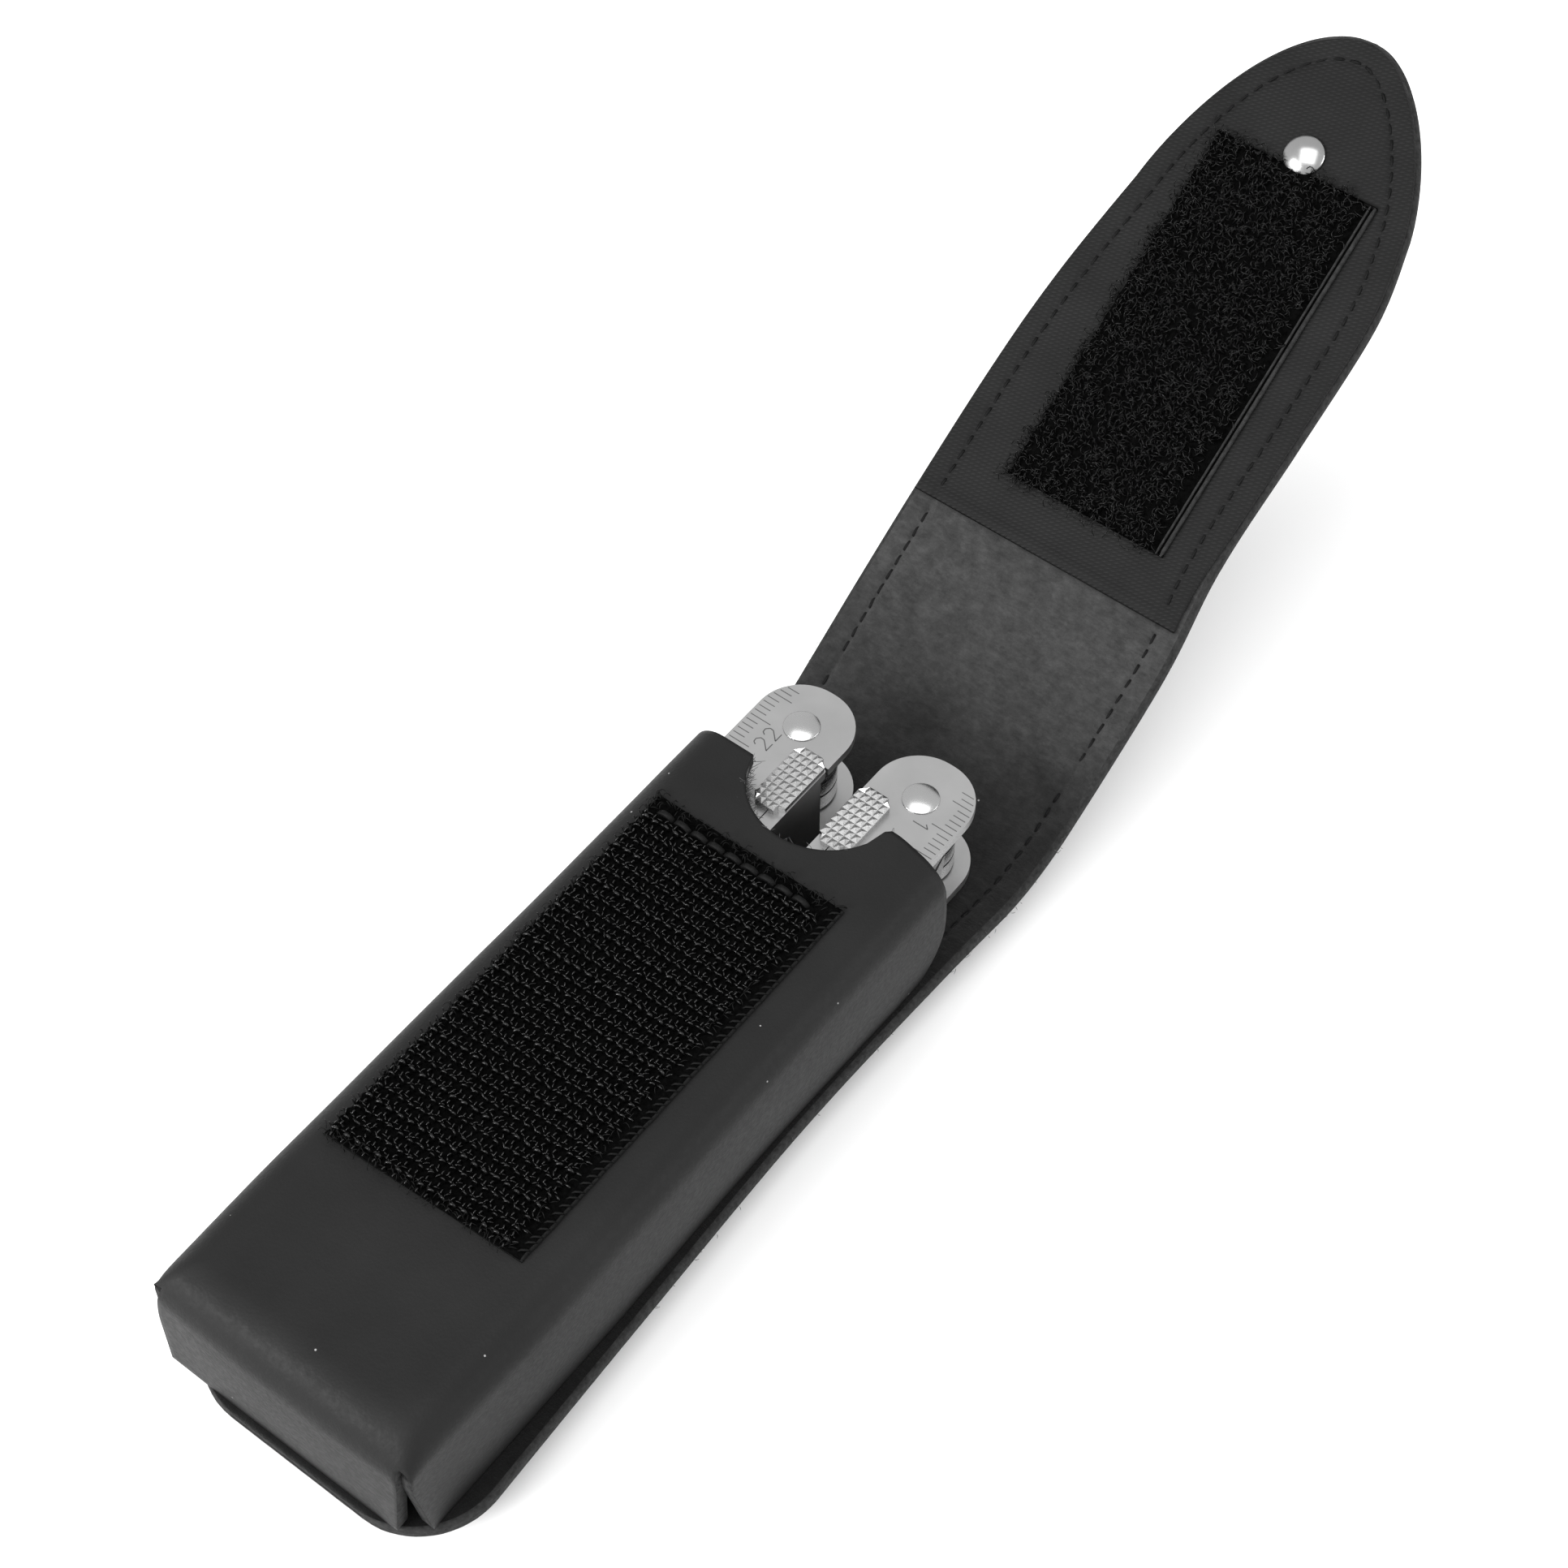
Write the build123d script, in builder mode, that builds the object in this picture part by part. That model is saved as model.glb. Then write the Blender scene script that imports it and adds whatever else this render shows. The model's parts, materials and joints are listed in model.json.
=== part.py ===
"""Folding plier multi tool in its belt sheath, with the sheath's flap raised.

Millimetres, +Z up. The sheath lies on its back on the plane z = 0 and rests on its belt loop.
Pieces are drawn with y = 0 at the closed end and +Y towards the mouth; save() then moves each one
along Y, so that the origin of the finished part is the middle of the belt loop's resting face.
"""

import os
from math import cos, radians, sin

from build123d import *

os.makedirs("parts", exist_ok=True)

# ---- sheath ----
LEATHER = 2.6
BELT_GAP = 4.4
STRAP_T = 1.8
PANEL_Z = STRAP_T + BELT_GAP
PANEL_TOP = PANEL_Z + LEATHER
PANEL_W = 48.0
PANEL_TAIL = 4.0
SHELL_W, SHELL_L, SHELL_H = 43.0, 110.0, 22.0
SHELL_WALL = 2.0
SHELL_TOP = PANEL_TOP + SHELL_H
SHELL_R = 4.0
LOOP_MID = 73.0
LOOP_RIVETS = [(x, y) for x in (-13, 13) for y in (LOOP_MID - 34, LOOP_MID + 34)]
LOOP_RIVET_R = 1.4

# ---- flap, which rises from the panel at fold A and folds over the mouth at fold C ----
FOLD_Y = 131.0
FOLD_Z = PANEL_Z + LEATHER / 2
FLAP_RISE = 31.0
BRIDGE_L = 29.5
FLAP_L = 131.0
FOLD_RELIEF = 1.6
LINING_T = 0.8
LINING_START = 41.0
LOOP_W, LOOP_START, LOOP_END, LOOP_X, LOOP_T = 28.0, 49.0, 109.6, 1.2, 2.2
SNAP_X, SNAP_S = 1.2, 111.2
POST_R = 1.6

HOOK_W, HOOK_Y0, HOOK_Y1, HOOK_X, HOOK_T = 32.0, 30.0, 96.7, -1.5, 1.6

# ---- tool ----
TOOL_X = -1.1
HANDLE_L, HANDLE_W, HANDLE_GAP = 115.0, 15.2, 5.8
TIP_Y = 129.0
HEAD_Y = TIP_Y - HANDLE_L
PLATE_T = 1.5
TIP_CORNER, HEAD_CORNER = 7.2, 6.0
TOOL_Z0, TOOL_T = 10.2, 15.6
TOOL_TOP = TOOL_Z0 + TOOL_T
BAY_Z0, BAY_Z1 = TOOL_Z0 + PLATE_T, TOOL_TOP - PLATE_T
HANDLE_X = (HANDLE_W + HANDLE_GAP) / 2
RIVET_Y = TIP_Y - 7.5
HINGE_Y = HEAD_Y + 7.0
RIVET_R, RIVET_HEAD_R, RIVET_DOME = 1.5, 2.7, 0.7
RUNNING = 0.05
LAYERS = 4
BLADE_T = 2.6
LAYER_GAP = (BAY_Z1 - BAY_Z0 - LAYERS * BLADE_T) / (LAYERS + 1)
TANG_R = 5.3
LOCK_U, LOCK_W, LOCK_L, LOCK_Y, LOCK_H = -4.8, 5.4, 10.0, 113.2, 1.2
LOCK_LIFT = 0.1
LOCK_TRAVEL = 3.0
KNURL_ROWS, KNURL_COLUMNS, KNURL_CUT = 5, 9, 0.5
GUIDE_U, GUIDE_W, GUIDE_L = -3.6, 1.9, 3.0
BAR_W, BAR_Y0, BAR_Y1 = 2.3, 54.0, 117.4
WEB_T, WEB_Y0, WEB_Y1 = 1.2, 88.0, 116.0
FOOT_U, FOOT_Y, FOOT_W, FOOT_L, FOOT_T = -3.5, 58.0, 6.5, 6.0, 0.7
SPRING_U, SPRING_T, SPRING_Y, SPRING_L = -1.3, 1.6, 73.0, 78.0
PIVOT_Y = 44.0
JAW_T = 10.0
NOSE_L = 34.0

TOOL_MID = TOOL_Z0 + TOOL_T / 2


def flap_plane(rise=0.0):
    """Plane along the raised flap: local y runs up the flap, local z off its inner face."""
    t = radians(FLAP_RISE)
    origin = (0, FOLD_Y - rise * sin(t), FOLD_Z + rise * cos(t))
    return Plane(origin=origin, x_dir=(1, 0, 0), z_dir=(0, -sin(t), cos(t)))


def save(part, name):
    placed = part.moved(Location((0, -LOOP_MID, 0)))
    placed.label = name
    export_step(placed, f"parts/{name}.step")


def rivet(x, y, z0, z1, shaft_r, head_r, dome, foot=None):
    """Rivet along Z clamping z0 to z1, with a low dome above and a dome or a flat head below."""
    foot = dome if foot is None else foot
    with BuildPart() as r:
        with BuildSketch(Plane.XY.offset(z0)):
            with Locations((x, y)):
                Circle(shaft_r)
        extrude(amount=z1 - z0)
        for z, height in ((z1, dome), (z0, -foot)):
            with BuildSketch(Plane.XY.offset(z)):
                with Locations((x, y)):
                    Circle(head_r)
            extrude(amount=height)
        for z, height in ((z1 + dome, dome), (z0 - foot, foot)):
            rim = r.edges().filter_by(GeomType.CIRCLE).filter_by_position(Axis.Z, z - 0.01, z + 0.01)
            fillet(rim, height * 0.95)
    return r.part


# ---------------------------------------------------------------- sheath body
with BuildPart() as back_panel:
    with BuildSketch(Plane.XY.offset(PANEL_Z)) as outline:
        length = FOLD_Y - FOLD_RELIEF + PANEL_TAIL
        with Locations((0, length / 2 - PANEL_TAIL)):
            Rectangle(PANEL_W, length)
        fillet(outline.vertices().group_by(Axis.Y)[0], 9.0)
    extrude(amount=LEATHER)
    with Locations(*[(x, y, PANEL_TOP) for x, y in LOOP_RIVETS]):
        Hole(LOOP_RIVET_R + RUNNING)

NOTCH_X0, NOTCH_X1, NOTCH_DEPTH = -11.0, 14.0, 10.0
with BuildPart() as front_shell:
    with BuildSketch(Plane.XZ.offset(-SHELL_L)) as arch:
        with Locations((0, PANEL_TOP + SHELL_H / 2)):
            Rectangle(SHELL_W, SHELL_H)
        fillet(arch.vertices().group_by(Axis.Y)[-1], SHELL_R)
    extrude(amount=SHELL_L)
    end = front_shell.faces().sort_by(Axis.Y)[0]
    fillet(end.edges().filter_by(Axis.Z, reverse=True).group_by(Axis.Z)[1:], 3.0)
    with BuildSketch(Plane.XZ.offset(-SHELL_L)) as bay:
        with Locations((0, PANEL_TOP + (SHELL_H - SHELL_WALL) / 2)):
            Rectangle(SHELL_W - 2 * SHELL_WALL, SHELL_H - SHELL_WALL)
        fillet(bay.vertices().group_by(Axis.Y)[-1], SHELL_R - SHELL_WALL)
    extrude(amount=SHELL_L - SHELL_WALL, mode=Mode.SUBTRACT)
    with BuildSketch(Plane.XY.offset(SHELL_TOP - 6.0)):
        with BuildLine():
            Spline(
                (NOTCH_X0, SHELL_L + 1),
                (NOTCH_X0 + 3, SHELL_L - 7),
                ((NOTCH_X0 + NOTCH_X1) / 2, SHELL_L - NOTCH_DEPTH),
                (NOTCH_X1 - 5, SHELL_L - 5),
                (NOTCH_X1, SHELL_L + 1),
            )
            Line((NOTCH_X1, SHELL_L + 1), (NOTCH_X0, SHELL_L + 1))
        make_face()
    extrude(amount=10.0, mode=Mode.SUBTRACT)

LOOP_STRAP_W, LOOP_FLAT, LOOP_RAMP, LOOP_TAB = 38.0, 25.0, 4.0, 40.0
with BuildPart() as belt_loop:
    with BuildSketch(Plane.YZ.offset(-LOOP_STRAP_W / 2)):
        with BuildLine():
            outer = [(LOOP_TAB, BELT_GAP), (LOOP_FLAT + LOOP_RAMP, BELT_GAP), (LOOP_FLAT, 0)]
            inner = [(LOOP_FLAT - 1, STRAP_T), (LOOP_FLAT + LOOP_RAMP - 1, PANEL_Z), (LOOP_TAB, PANEL_Z)]
            far = [(LOOP_MID + y, z) for y, z in outer[::-1]], [(LOOP_MID + y, z) for y, z in inner]
            near = [(LOOP_MID - y, z) for y, z in outer], [(LOOP_MID - y, z) for y, z in inner[::-1]]
            Polyline(*near[0], *far[0], *far[1][::-1], *near[1][::-1], close=True)
        make_face()
    extrude(amount=LOOP_STRAP_W)
    with Locations(*[(x, y, PANEL_Z) for x, y in LOOP_RIVETS]):
        Hole(LOOP_RIVET_R + RUNNING, depth=STRAP_T)

with BuildPart() as loop_rivets:
    for rivet_x, rivet_y in LOOP_RIVETS:
        add(rivet(rivet_x, rivet_y, BELT_GAP, PANEL_TOP, LOOP_RIVET_R, 2.8, 0.4))

with BuildPart() as hook_patch:
    with BuildSketch(Plane.XY.offset(SHELL_TOP)) as hooks:
        with Locations((HOOK_X, (HOOK_Y0 + HOOK_Y1) / 2)):
            RectangleRounded(HOOK_W, HOOK_Y1 - HOOK_Y0, 1.0)
    extrude(amount=HOOK_T)

# ---------------------------------------------------------------- flap
with BuildPart() as flap_bridge:
    with BuildSketch(flap_plane(-LEATHER / 2)):
        with Locations((0, BRIDGE_L / 2)):
            Rectangle(PANEL_W, BRIDGE_L - 2 * FOLD_RELIEF)
    extrude(amount=LEATHER)


def tongue_outline(inset, start):
    """Strip with a half-oval tip, inset from the flap's edge, from start to the tip."""
    half, tip = PANEL_W / 2 - inset, FLAP_L - inset
    shoulder = 80.0
    with BuildSketch(flap_plane()) as s:
        with BuildLine():
            Polyline((0, start), (half, start), (half, shoulder))
            Spline(
                (half, shoulder),
                (half * 0.89, 107.0 - inset),
                (half * 0.52, tip - 6.0),
                (0, tip),
                tangents=[(0, 1), (-1, 0)],
            )
            mirror(about=Plane.YZ)
        make_face()
    return s.sketch


with BuildPart() as flap_tongue:
    add(tongue_outline(0.0, BRIDGE_L + FOLD_RELIEF))
    extrude(amount=LEATHER / 2, both=True)
    with Locations(flap_plane(LEATHER / 2)):
        with Locations((SNAP_X, SNAP_S)):
            Hole(POST_R + RUNNING)

with BuildPart() as flap_lining:
    add(tongue_outline(1.0, LINING_START).moved(Location(flap_plane().z_dir * (LEATHER / 2))))
    extrude(amount=LINING_T)
    with Locations(flap_plane(LEATHER / 2 + LINING_T)):
        with Locations((SNAP_X, SNAP_S)):
            Hole(POST_R + RUNNING)

with BuildPart() as loop_patch:
    with BuildSketch(flap_plane(LEATHER / 2 + LINING_T)) as loops:
        with Locations((LOOP_X, (LOOP_START + LOOP_END) / 2)):
            RectangleRounded(LOOP_W, LOOP_END - LOOP_START, 1.0)
        with Locations((SNAP_X, SNAP_S)):
            Circle(3.5, mode=Mode.SUBTRACT)
    extrude(amount=LOOP_T)

with BuildPart() as snap_cap:
    with BuildSketch(flap_plane(LEATHER / 2 + LINING_T)):
        with Locations((SNAP_X, SNAP_S)):
            Circle(3.1)
    extrude(amount=1.3)
    fillet(snap_cap.edges().sort_by(Axis(flap_plane().origin, flap_plane().z_dir))[-1], 1.0)

with BuildPart() as snap_post:
    with BuildSketch(flap_plane(LEATHER / 2 + LINING_T)):
        with Locations((SNAP_X, SNAP_S)):
            Circle(POST_R)
    extrude(amount=-(LEATHER + LINING_T))
    with BuildSketch(flap_plane(-LEATHER / 2)):
        with Locations((SNAP_X, SNAP_S)):
            Circle(4.0)
    extrude(amount=-0.8)

# ---------------------------------------------------------------- tool handles


def at(side, u):
    """World x of a place u outward of a handle's centre line; side is -1 left, +1 right."""
    return TOOL_X + side * (HANDLE_X + u)


def layer_z(k):
    return BAY_Z0 + LAYER_GAP + k * (BLADE_T + LAYER_GAP)


def plate(side, z0, has_lock):
    """One side plate of a handle."""
    with BuildPart() as p:
        with BuildSketch(Plane.XY.offset(z0)) as s:
            with Locations((at(side, 0), HEAD_Y + HANDLE_L / 2)):
                Rectangle(HANDLE_W, HANDLE_L)
            fillet(s.vertices().group_by(Axis.Y)[-1], TIP_CORNER)
            fillet(s.vertices().group_by(Axis.Y)[0], HEAD_CORNER)
            with Locations((at(side, 0), RIVET_Y), (at(side, 0), HINGE_Y)):
                Circle(RIVET_R + RUNNING, mode=Mode.SUBTRACT)
            if has_lock:
                with Locations((at(side, -HANDLE_W / 2 + BAR_W / 2), (BAR_Y0 + BAR_Y1) / 2)):
                    Rectangle(BAR_W + 0.3, BAR_Y1 - BAR_Y0 + 0.6, mode=Mode.SUBTRACT)
                with Locations((at(side, GUIDE_U), LOCK_Y - LOCK_TRAVEL / 2)):
                    Rectangle(GUIDE_W + 0.3, GUIDE_L + LOCK_TRAVEL + 0.4, mode=Mode.SUBTRACT)
        extrude(amount=PLATE_T)
    return p.part


def lock_bar(side):
    """Spring bar let into the plate's inner edge, with a foot on the back spring and a web below."""
    with BuildPart() as p:
        with BuildSketch(Plane.XY.offset(BAY_Z1)) as s:
            with Locations((at(side, -HANDLE_W / 2 + BAR_W / 2), (BAR_Y0 + BAR_Y1) / 2)):
                Rectangle(BAR_W, BAR_Y1 - BAR_Y0)
            fillet(s.vertices().group_by(Axis.Y)[-1], 0.5)
        extrude(amount=PLATE_T)
        with BuildSketch(Plane.XY.offset(BAY_Z1)):
            with Locations((at(side, FOOT_U), FOOT_Y)):
                Rectangle(FOOT_W, FOOT_L)
        extrude(amount=-FOOT_T)
        with BuildSketch(Plane.XY.offset(BAY_Z1)):
            with Locations((at(side, -HANDLE_W / 2 + WEB_T / 2), (WEB_Y0 + WEB_Y1) / 2)):
                Rectangle(WEB_T, WEB_Y1 - WEB_Y0)
        extrude(amount=BAY_Z0 - BAY_Z1 + RUNNING)
    return p.part


def lock_slide(side):
    """Knurled thumb slide on the plate, with a guide tongue through the plate's slot."""
    foot, top = TOOL_TOP + LOCK_LIFT, TOOL_TOP + LOCK_LIFT + LOCK_H
    across, along = LOCK_W / KNURL_ROWS, LOCK_L / KNURL_COLUMNS
    groove = ((-KNURL_CUT, top + 0.01), (0, top - KNURL_CUT), (KNURL_CUT, top + 0.01))
    with BuildPart() as p:
        with BuildSketch(Plane.XY.offset(foot)):
            with Locations((at(side, LOCK_U), LOCK_Y)):
                RectangleRounded(LOCK_W, LOCK_L, 1.5)
        extrude(amount=LOCK_H)
        with BuildSketch(Plane.XY.offset(foot)):
            with Locations((at(side, GUIDE_U), LOCK_Y)):
                Rectangle(GUIDE_W, GUIDE_L)
        extrude(amount=-PLATE_T)
        for k in range(1, KNURL_COLUMNS):
            y = LOCK_Y - LOCK_L / 2 + k * along
            with BuildSketch(Plane.YZ.offset(at(side, LOCK_U) - LOCK_W)):
                with BuildLine():
                    Polyline(*[(y + dy, z) for dy, z in groove], close=True)
                make_face()
            extrude(amount=2 * LOCK_W, mode=Mode.SUBTRACT)
        for k in range(1, KNURL_ROWS):
            x = at(side, LOCK_U) - LOCK_W / 2 + k * across
            with BuildSketch(Plane.XZ.offset(-LOCK_Y - LOCK_L)):
                with BuildLine():
                    Polyline(*[(x + dx, z) for dx, z in groove], close=True)
                make_face()
            extrude(amount=2 * LOCK_L, mode=Mode.SUBTRACT)
    return p.part


def back_spring(side):
    """Spring wall between the plates, along which the implements lie."""
    with BuildPart() as p:
        with BuildSketch(Plane.XY.offset(BAY_Z0)):
            with Locations((at(side, SPRING_U), SPRING_Y)):
                Rectangle(SPRING_T, SPRING_L)
        extrude(amount=BAY_Z1 - BAY_Z0)
        with BuildSketch(Plane.XY.offset(BAY_Z1)):
            with Locations((at(side, FOOT_U), FOOT_Y)):
                Rectangle(FOOT_W + 0.1, FOOT_L + 0.2)
        extrude(amount=-FOOT_T - RUNNING, mode=Mode.SUBTRACT)
    return p.part


# ---------------------------------------------------------------- implements


def implement(side, k, points, holes=(), teeth=None):
    """Folded implement in layer k: points are (u, distance from the rivet towards the head)."""
    with BuildPart() as p:
        with BuildSketch(Plane.XY.offset(layer_z(k))) as s:
            with Locations((at(side, 0), RIVET_Y)):
                Circle(TANG_R)
            with BuildLine():
                Polyline(*[(at(side, u), RIVET_Y - d) for u, d in points], close=True)
            make_face()
            with Locations((at(side, 0), RIVET_Y)):
                Circle(RIVET_R + RUNNING, mode=Mode.SUBTRACT)
            for u, d, r in holes:
                with Locations((at(side, u), RIVET_Y - d)):
                    Circle(r, mode=Mode.SUBTRACT)
            if teeth:
                start, count, pitch, edge, depth = teeth
                for n in range(count):
                    d = start + n * pitch
                    tri = [(edge, d), (edge - depth, d + pitch / 2), (edge, d + pitch)]
                    with BuildLine(mode=Mode.PRIVATE) as notch:
                        Polyline(*[(at(side, u), RIVET_Y - q) for u, q in tri], close=True)
                    add(make_face(notch.edges(), mode=Mode.PRIVATE), mode=Mode.SUBTRACT)
        extrude(amount=BLADE_T)
    return p.part


SPINE = 0.1
START = [(SPINE, 0), (5.0, 0)]
IMPLEMENTS = {
    "knife_blade": (-1, 3, [(6.9, 9), (7.2, 40), (6.4, 66), (3.4, 79), (SPINE, 84)], (), None),
    "serrated_blade": (-1, 2, [(7.2, 9), (7.2, 60), (4.0, 78), (SPINE, 83)], (), (14, 15, 3.0, 7.3, 0.7)),
    "wood_saw": (-1, 1, [(7.0, 9), (7.3, 82), (SPINE, 84)], (), (12, 35, 2.0, 7.5, 1.0)),
    "metal_file": (-1, 0, [(6.8, 9), (6.8, 80), (2.0, 84), (SPINE, 84)], (), (12, 42, 1.6, 6.9, 0.35)),
    "screwdriver": (1, 3, [(6.6, 8), (6.6, 26), (5.4, 34), (5.4, 48), (SPINE, 48)], (), None),
    "can_opener": (
        1, 2, [(7.0, 10), (7.0, 24), (4.4, 30), (7.2, 33), (6.4, 42), (2.0, 46), (SPINE, 43)], (), None,
    ),
    "cap_lifter": (
        1, 1, [(7.2, 9), (7.2, 20), (3.4, 25), (3.6, 29), (7.2, 32), (6.4, 50), (SPINE, 52)], (), None,
    ),
    "reamer_awl": (1, 0, [(6.0, 9), (5.0, 30), (2.4, 44), (SPINE, 56)], ((2.4, 30, 0.8),), None),
}

for side, hand in ((-1, "left"), (1, "right")):
    save(plate(side, BAY_Z1, True), f"{hand}_top_plate")
    save(plate(side, TOOL_Z0, False), f"{hand}_bottom_plate")
    save(lock_bar(side), f"{hand}_lock_bar")
    save(lock_slide(side), f"{hand}_lock_slide")
    save(back_spring(side), f"{hand}_back_spring")
    heads = (RIVET_R, RIVET_HEAD_R, RIVET_DOME)
    save(rivet(at(side, 0), RIVET_Y, TOOL_Z0, TOOL_TOP, *heads), f"{hand}_tool_rivet")
    save(rivet(at(side, 0), HINGE_Y, TOOL_Z0, TOOL_TOP, *heads), f"{hand}_head_rivet")

for name, (side, k, points, holes, teeth) in IMPLEMENTS.items():
    save(implement(side, k, START + points, holes, teeth), name)

# ---------------------------------------------------------------- plier head
LAP = 0.1
JAW_DISC_R = 7.0
HEAD_TANG_R = 5.0


def jaw(side, half):
    """One jaw with its handle tang. side is the handle's; the nose lies on the other side of the pivot."""
    z0 = TOOL_MID - JAW_T / 2
    tang_x, nose = at(side, 0), -side
    low = z0 if half < 0 else TOOL_MID + LAP
    with BuildPart() as p:
        with BuildSketch(Plane.XY.offset(BAY_Z0 + 0.3)):
            with Locations((tang_x, HINGE_Y)):
                Circle(HEAD_TANG_R)
                Circle(RIVET_R + RUNNING, mode=Mode.SUBTRACT)
        extrude(amount=BAY_Z1 - BAY_Z0 - 0.6)
        with BuildSketch(Plane.XY.offset(low)):
            with BuildLine():
                Polyline(
                    (tang_x + side * 2.0, HINGE_Y + 4.4),
                    (TOOL_X + side * 7.2, PIVOT_Y - 8),
                    (TOOL_X + side * 6.4, PIVOT_Y + 1),
                    (TOOL_X - side * 4.0, PIVOT_Y - 3),
                    (tang_x - side * 4.4, HINGE_Y + 1.5),
                    close=True,
                )
            make_face()
            with Locations((TOOL_X, PIVOT_Y)):
                Circle(JAW_DISC_R)
        extrude(amount=JAW_T / 2 - LAP)
        with BuildSketch(Plane.XY.offset(z0)):
            with BuildLine():
                Polyline(
                    (TOOL_X + nose * 0.2, PIVOT_Y + JAW_DISC_R + 0.4),
                    (TOOL_X + nose * 6.6, PIVOT_Y + JAW_DISC_R + 0.4),
                    (TOOL_X + nose * 6.4, PIVOT_Y + 16),
                    (TOOL_X + nose * 2.4, PIVOT_Y + NOSE_L),
                    (TOOL_X + nose * 0.2, PIVOT_Y + NOSE_L),
                    close=True,
                )
            make_face()
        extrude(amount=JAW_T)
        with BuildSketch(Plane.XY.offset(low)):
            with Locations((TOOL_X + nose * 3.4, PIVOT_Y + 5.5)):
                Rectangle(6.4, 5.0)
        extrude(amount=JAW_T / 2 - LAP)
        with BuildSketch(Plane.XY.offset(z0)):
            with Locations((TOOL_X, PIVOT_Y)):
                Circle(PIVOT_R + RUNNING)
            with Locations((tang_x, HINGE_Y)):
                Circle(RIVET_R + RUNNING)
        extrude(amount=JAW_T, mode=Mode.SUBTRACT)
    return p.part


PIVOT_R = 2.2
save(jaw(-1, -1), "left_jaw")
save(jaw(1, 1), "right_jaw")
jaw_span = (TOOL_MID - JAW_T / 2, TOOL_MID + JAW_T / 2)
save(rivet(TOOL_X, PIVOT_Y, *jaw_span, PIVOT_R, 3.6, 0.8), "plier_pivot")

for name, piece in {
    "back_panel": back_panel.part,
    "front_shell": front_shell.part,
    "belt_loop": belt_loop.part,
    "belt_loop_rivets": loop_rivets.part,
    "hook_patch": hook_patch.part,
    "flap_bridge": flap_bridge.part,
    "flap_tongue": flap_tongue.part,
    "flap_lining": flap_lining.part,
    "loop_patch": loop_patch.part,
    "snap_cap": snap_cap.part,
    "snap_post": snap_post.part,
}.items():
    save(piece, name)
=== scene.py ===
"""Belt sheath with a folding plier multi tool: its looks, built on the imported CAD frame.

Lengths are millimetres, with y = 0 at the sheath's closed end, until at() turns them into metres in
the frame. Along the back leather, s runs from the closed end through the bend and up the flap.
"""
import json
import math
import random

import bmesh
import bpy
import numpy as np
from mathutils import Matrix, Vector, noise


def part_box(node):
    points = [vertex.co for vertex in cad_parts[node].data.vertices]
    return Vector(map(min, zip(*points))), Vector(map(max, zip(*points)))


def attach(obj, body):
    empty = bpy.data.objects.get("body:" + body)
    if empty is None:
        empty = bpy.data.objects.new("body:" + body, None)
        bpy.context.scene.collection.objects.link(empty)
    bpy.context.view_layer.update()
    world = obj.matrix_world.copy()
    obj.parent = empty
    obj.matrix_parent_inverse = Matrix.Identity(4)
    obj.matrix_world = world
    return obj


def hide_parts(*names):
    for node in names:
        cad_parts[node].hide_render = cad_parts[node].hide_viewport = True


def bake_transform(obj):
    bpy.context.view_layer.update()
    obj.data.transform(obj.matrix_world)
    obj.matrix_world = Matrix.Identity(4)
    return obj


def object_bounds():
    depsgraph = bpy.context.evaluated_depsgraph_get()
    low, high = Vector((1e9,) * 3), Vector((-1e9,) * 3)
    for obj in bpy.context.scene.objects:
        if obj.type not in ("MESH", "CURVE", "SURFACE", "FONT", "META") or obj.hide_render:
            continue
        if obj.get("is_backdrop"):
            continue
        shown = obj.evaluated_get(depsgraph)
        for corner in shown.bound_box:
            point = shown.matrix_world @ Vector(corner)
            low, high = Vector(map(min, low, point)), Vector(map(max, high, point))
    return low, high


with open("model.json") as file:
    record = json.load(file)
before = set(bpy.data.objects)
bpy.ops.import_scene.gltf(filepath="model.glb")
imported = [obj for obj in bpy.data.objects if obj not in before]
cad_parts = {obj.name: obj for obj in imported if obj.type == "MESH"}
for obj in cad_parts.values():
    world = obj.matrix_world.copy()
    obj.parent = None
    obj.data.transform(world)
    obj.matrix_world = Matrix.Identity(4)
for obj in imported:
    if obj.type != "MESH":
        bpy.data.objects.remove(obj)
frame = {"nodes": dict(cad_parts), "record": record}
cad_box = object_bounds()
random.seed(7)

MM = 0.001
# ---- driving dimensions, from the frame


def node_box(name):
    return [Vector(c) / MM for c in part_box(name)]


shell_lo, shell_hi = node_box("front_shell")
panel_lo, panel_hi = node_box("back_panel")
END_Y = shell_lo.y
SHELL_W = shell_hi.x - shell_lo.x
SHELL_TOP = shell_hi.z
PANEL_TOP = panel_hi.z
LEATHER = panel_hi.z - panel_lo.z
WALL = 2.0

joints = {j["name"]: j for j in frame["record"]["behaviour"]["joints"]}
fold_a = Vector(joints["flap_fold"]["pos_m"]) / MM
fold_c = Vector(joints["flap_fold_over"]["pos_m"]) / MM
RISE = math.atan2(fold_c.z - fold_a.z, fold_c.y - fold_a.y)
BRIDGE_L = (fold_c - fold_a).length
FOLD_Y = fold_a.y - END_Y
MID_Z = fold_a.z
BEND_R = 30.0
BEND_ARC = BEND_R * RISE
BEND_RUN = BEND_R * math.tan(RISE / 2)


def at(x, y, z):
    """Metres in the frame from millimetres measured from the closed end."""
    return Vector((x * MM, (y + END_Y) * MM, z * MM))


def ease(t):
    t = min(max(t, 0.0), 1.0)
    return t * t * (3 - 2 * t)


def wave(x, y, z=0.0):
    """Smooth noise between -1 and 1."""
    return noise.noise(Vector((x, y, z)))


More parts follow.
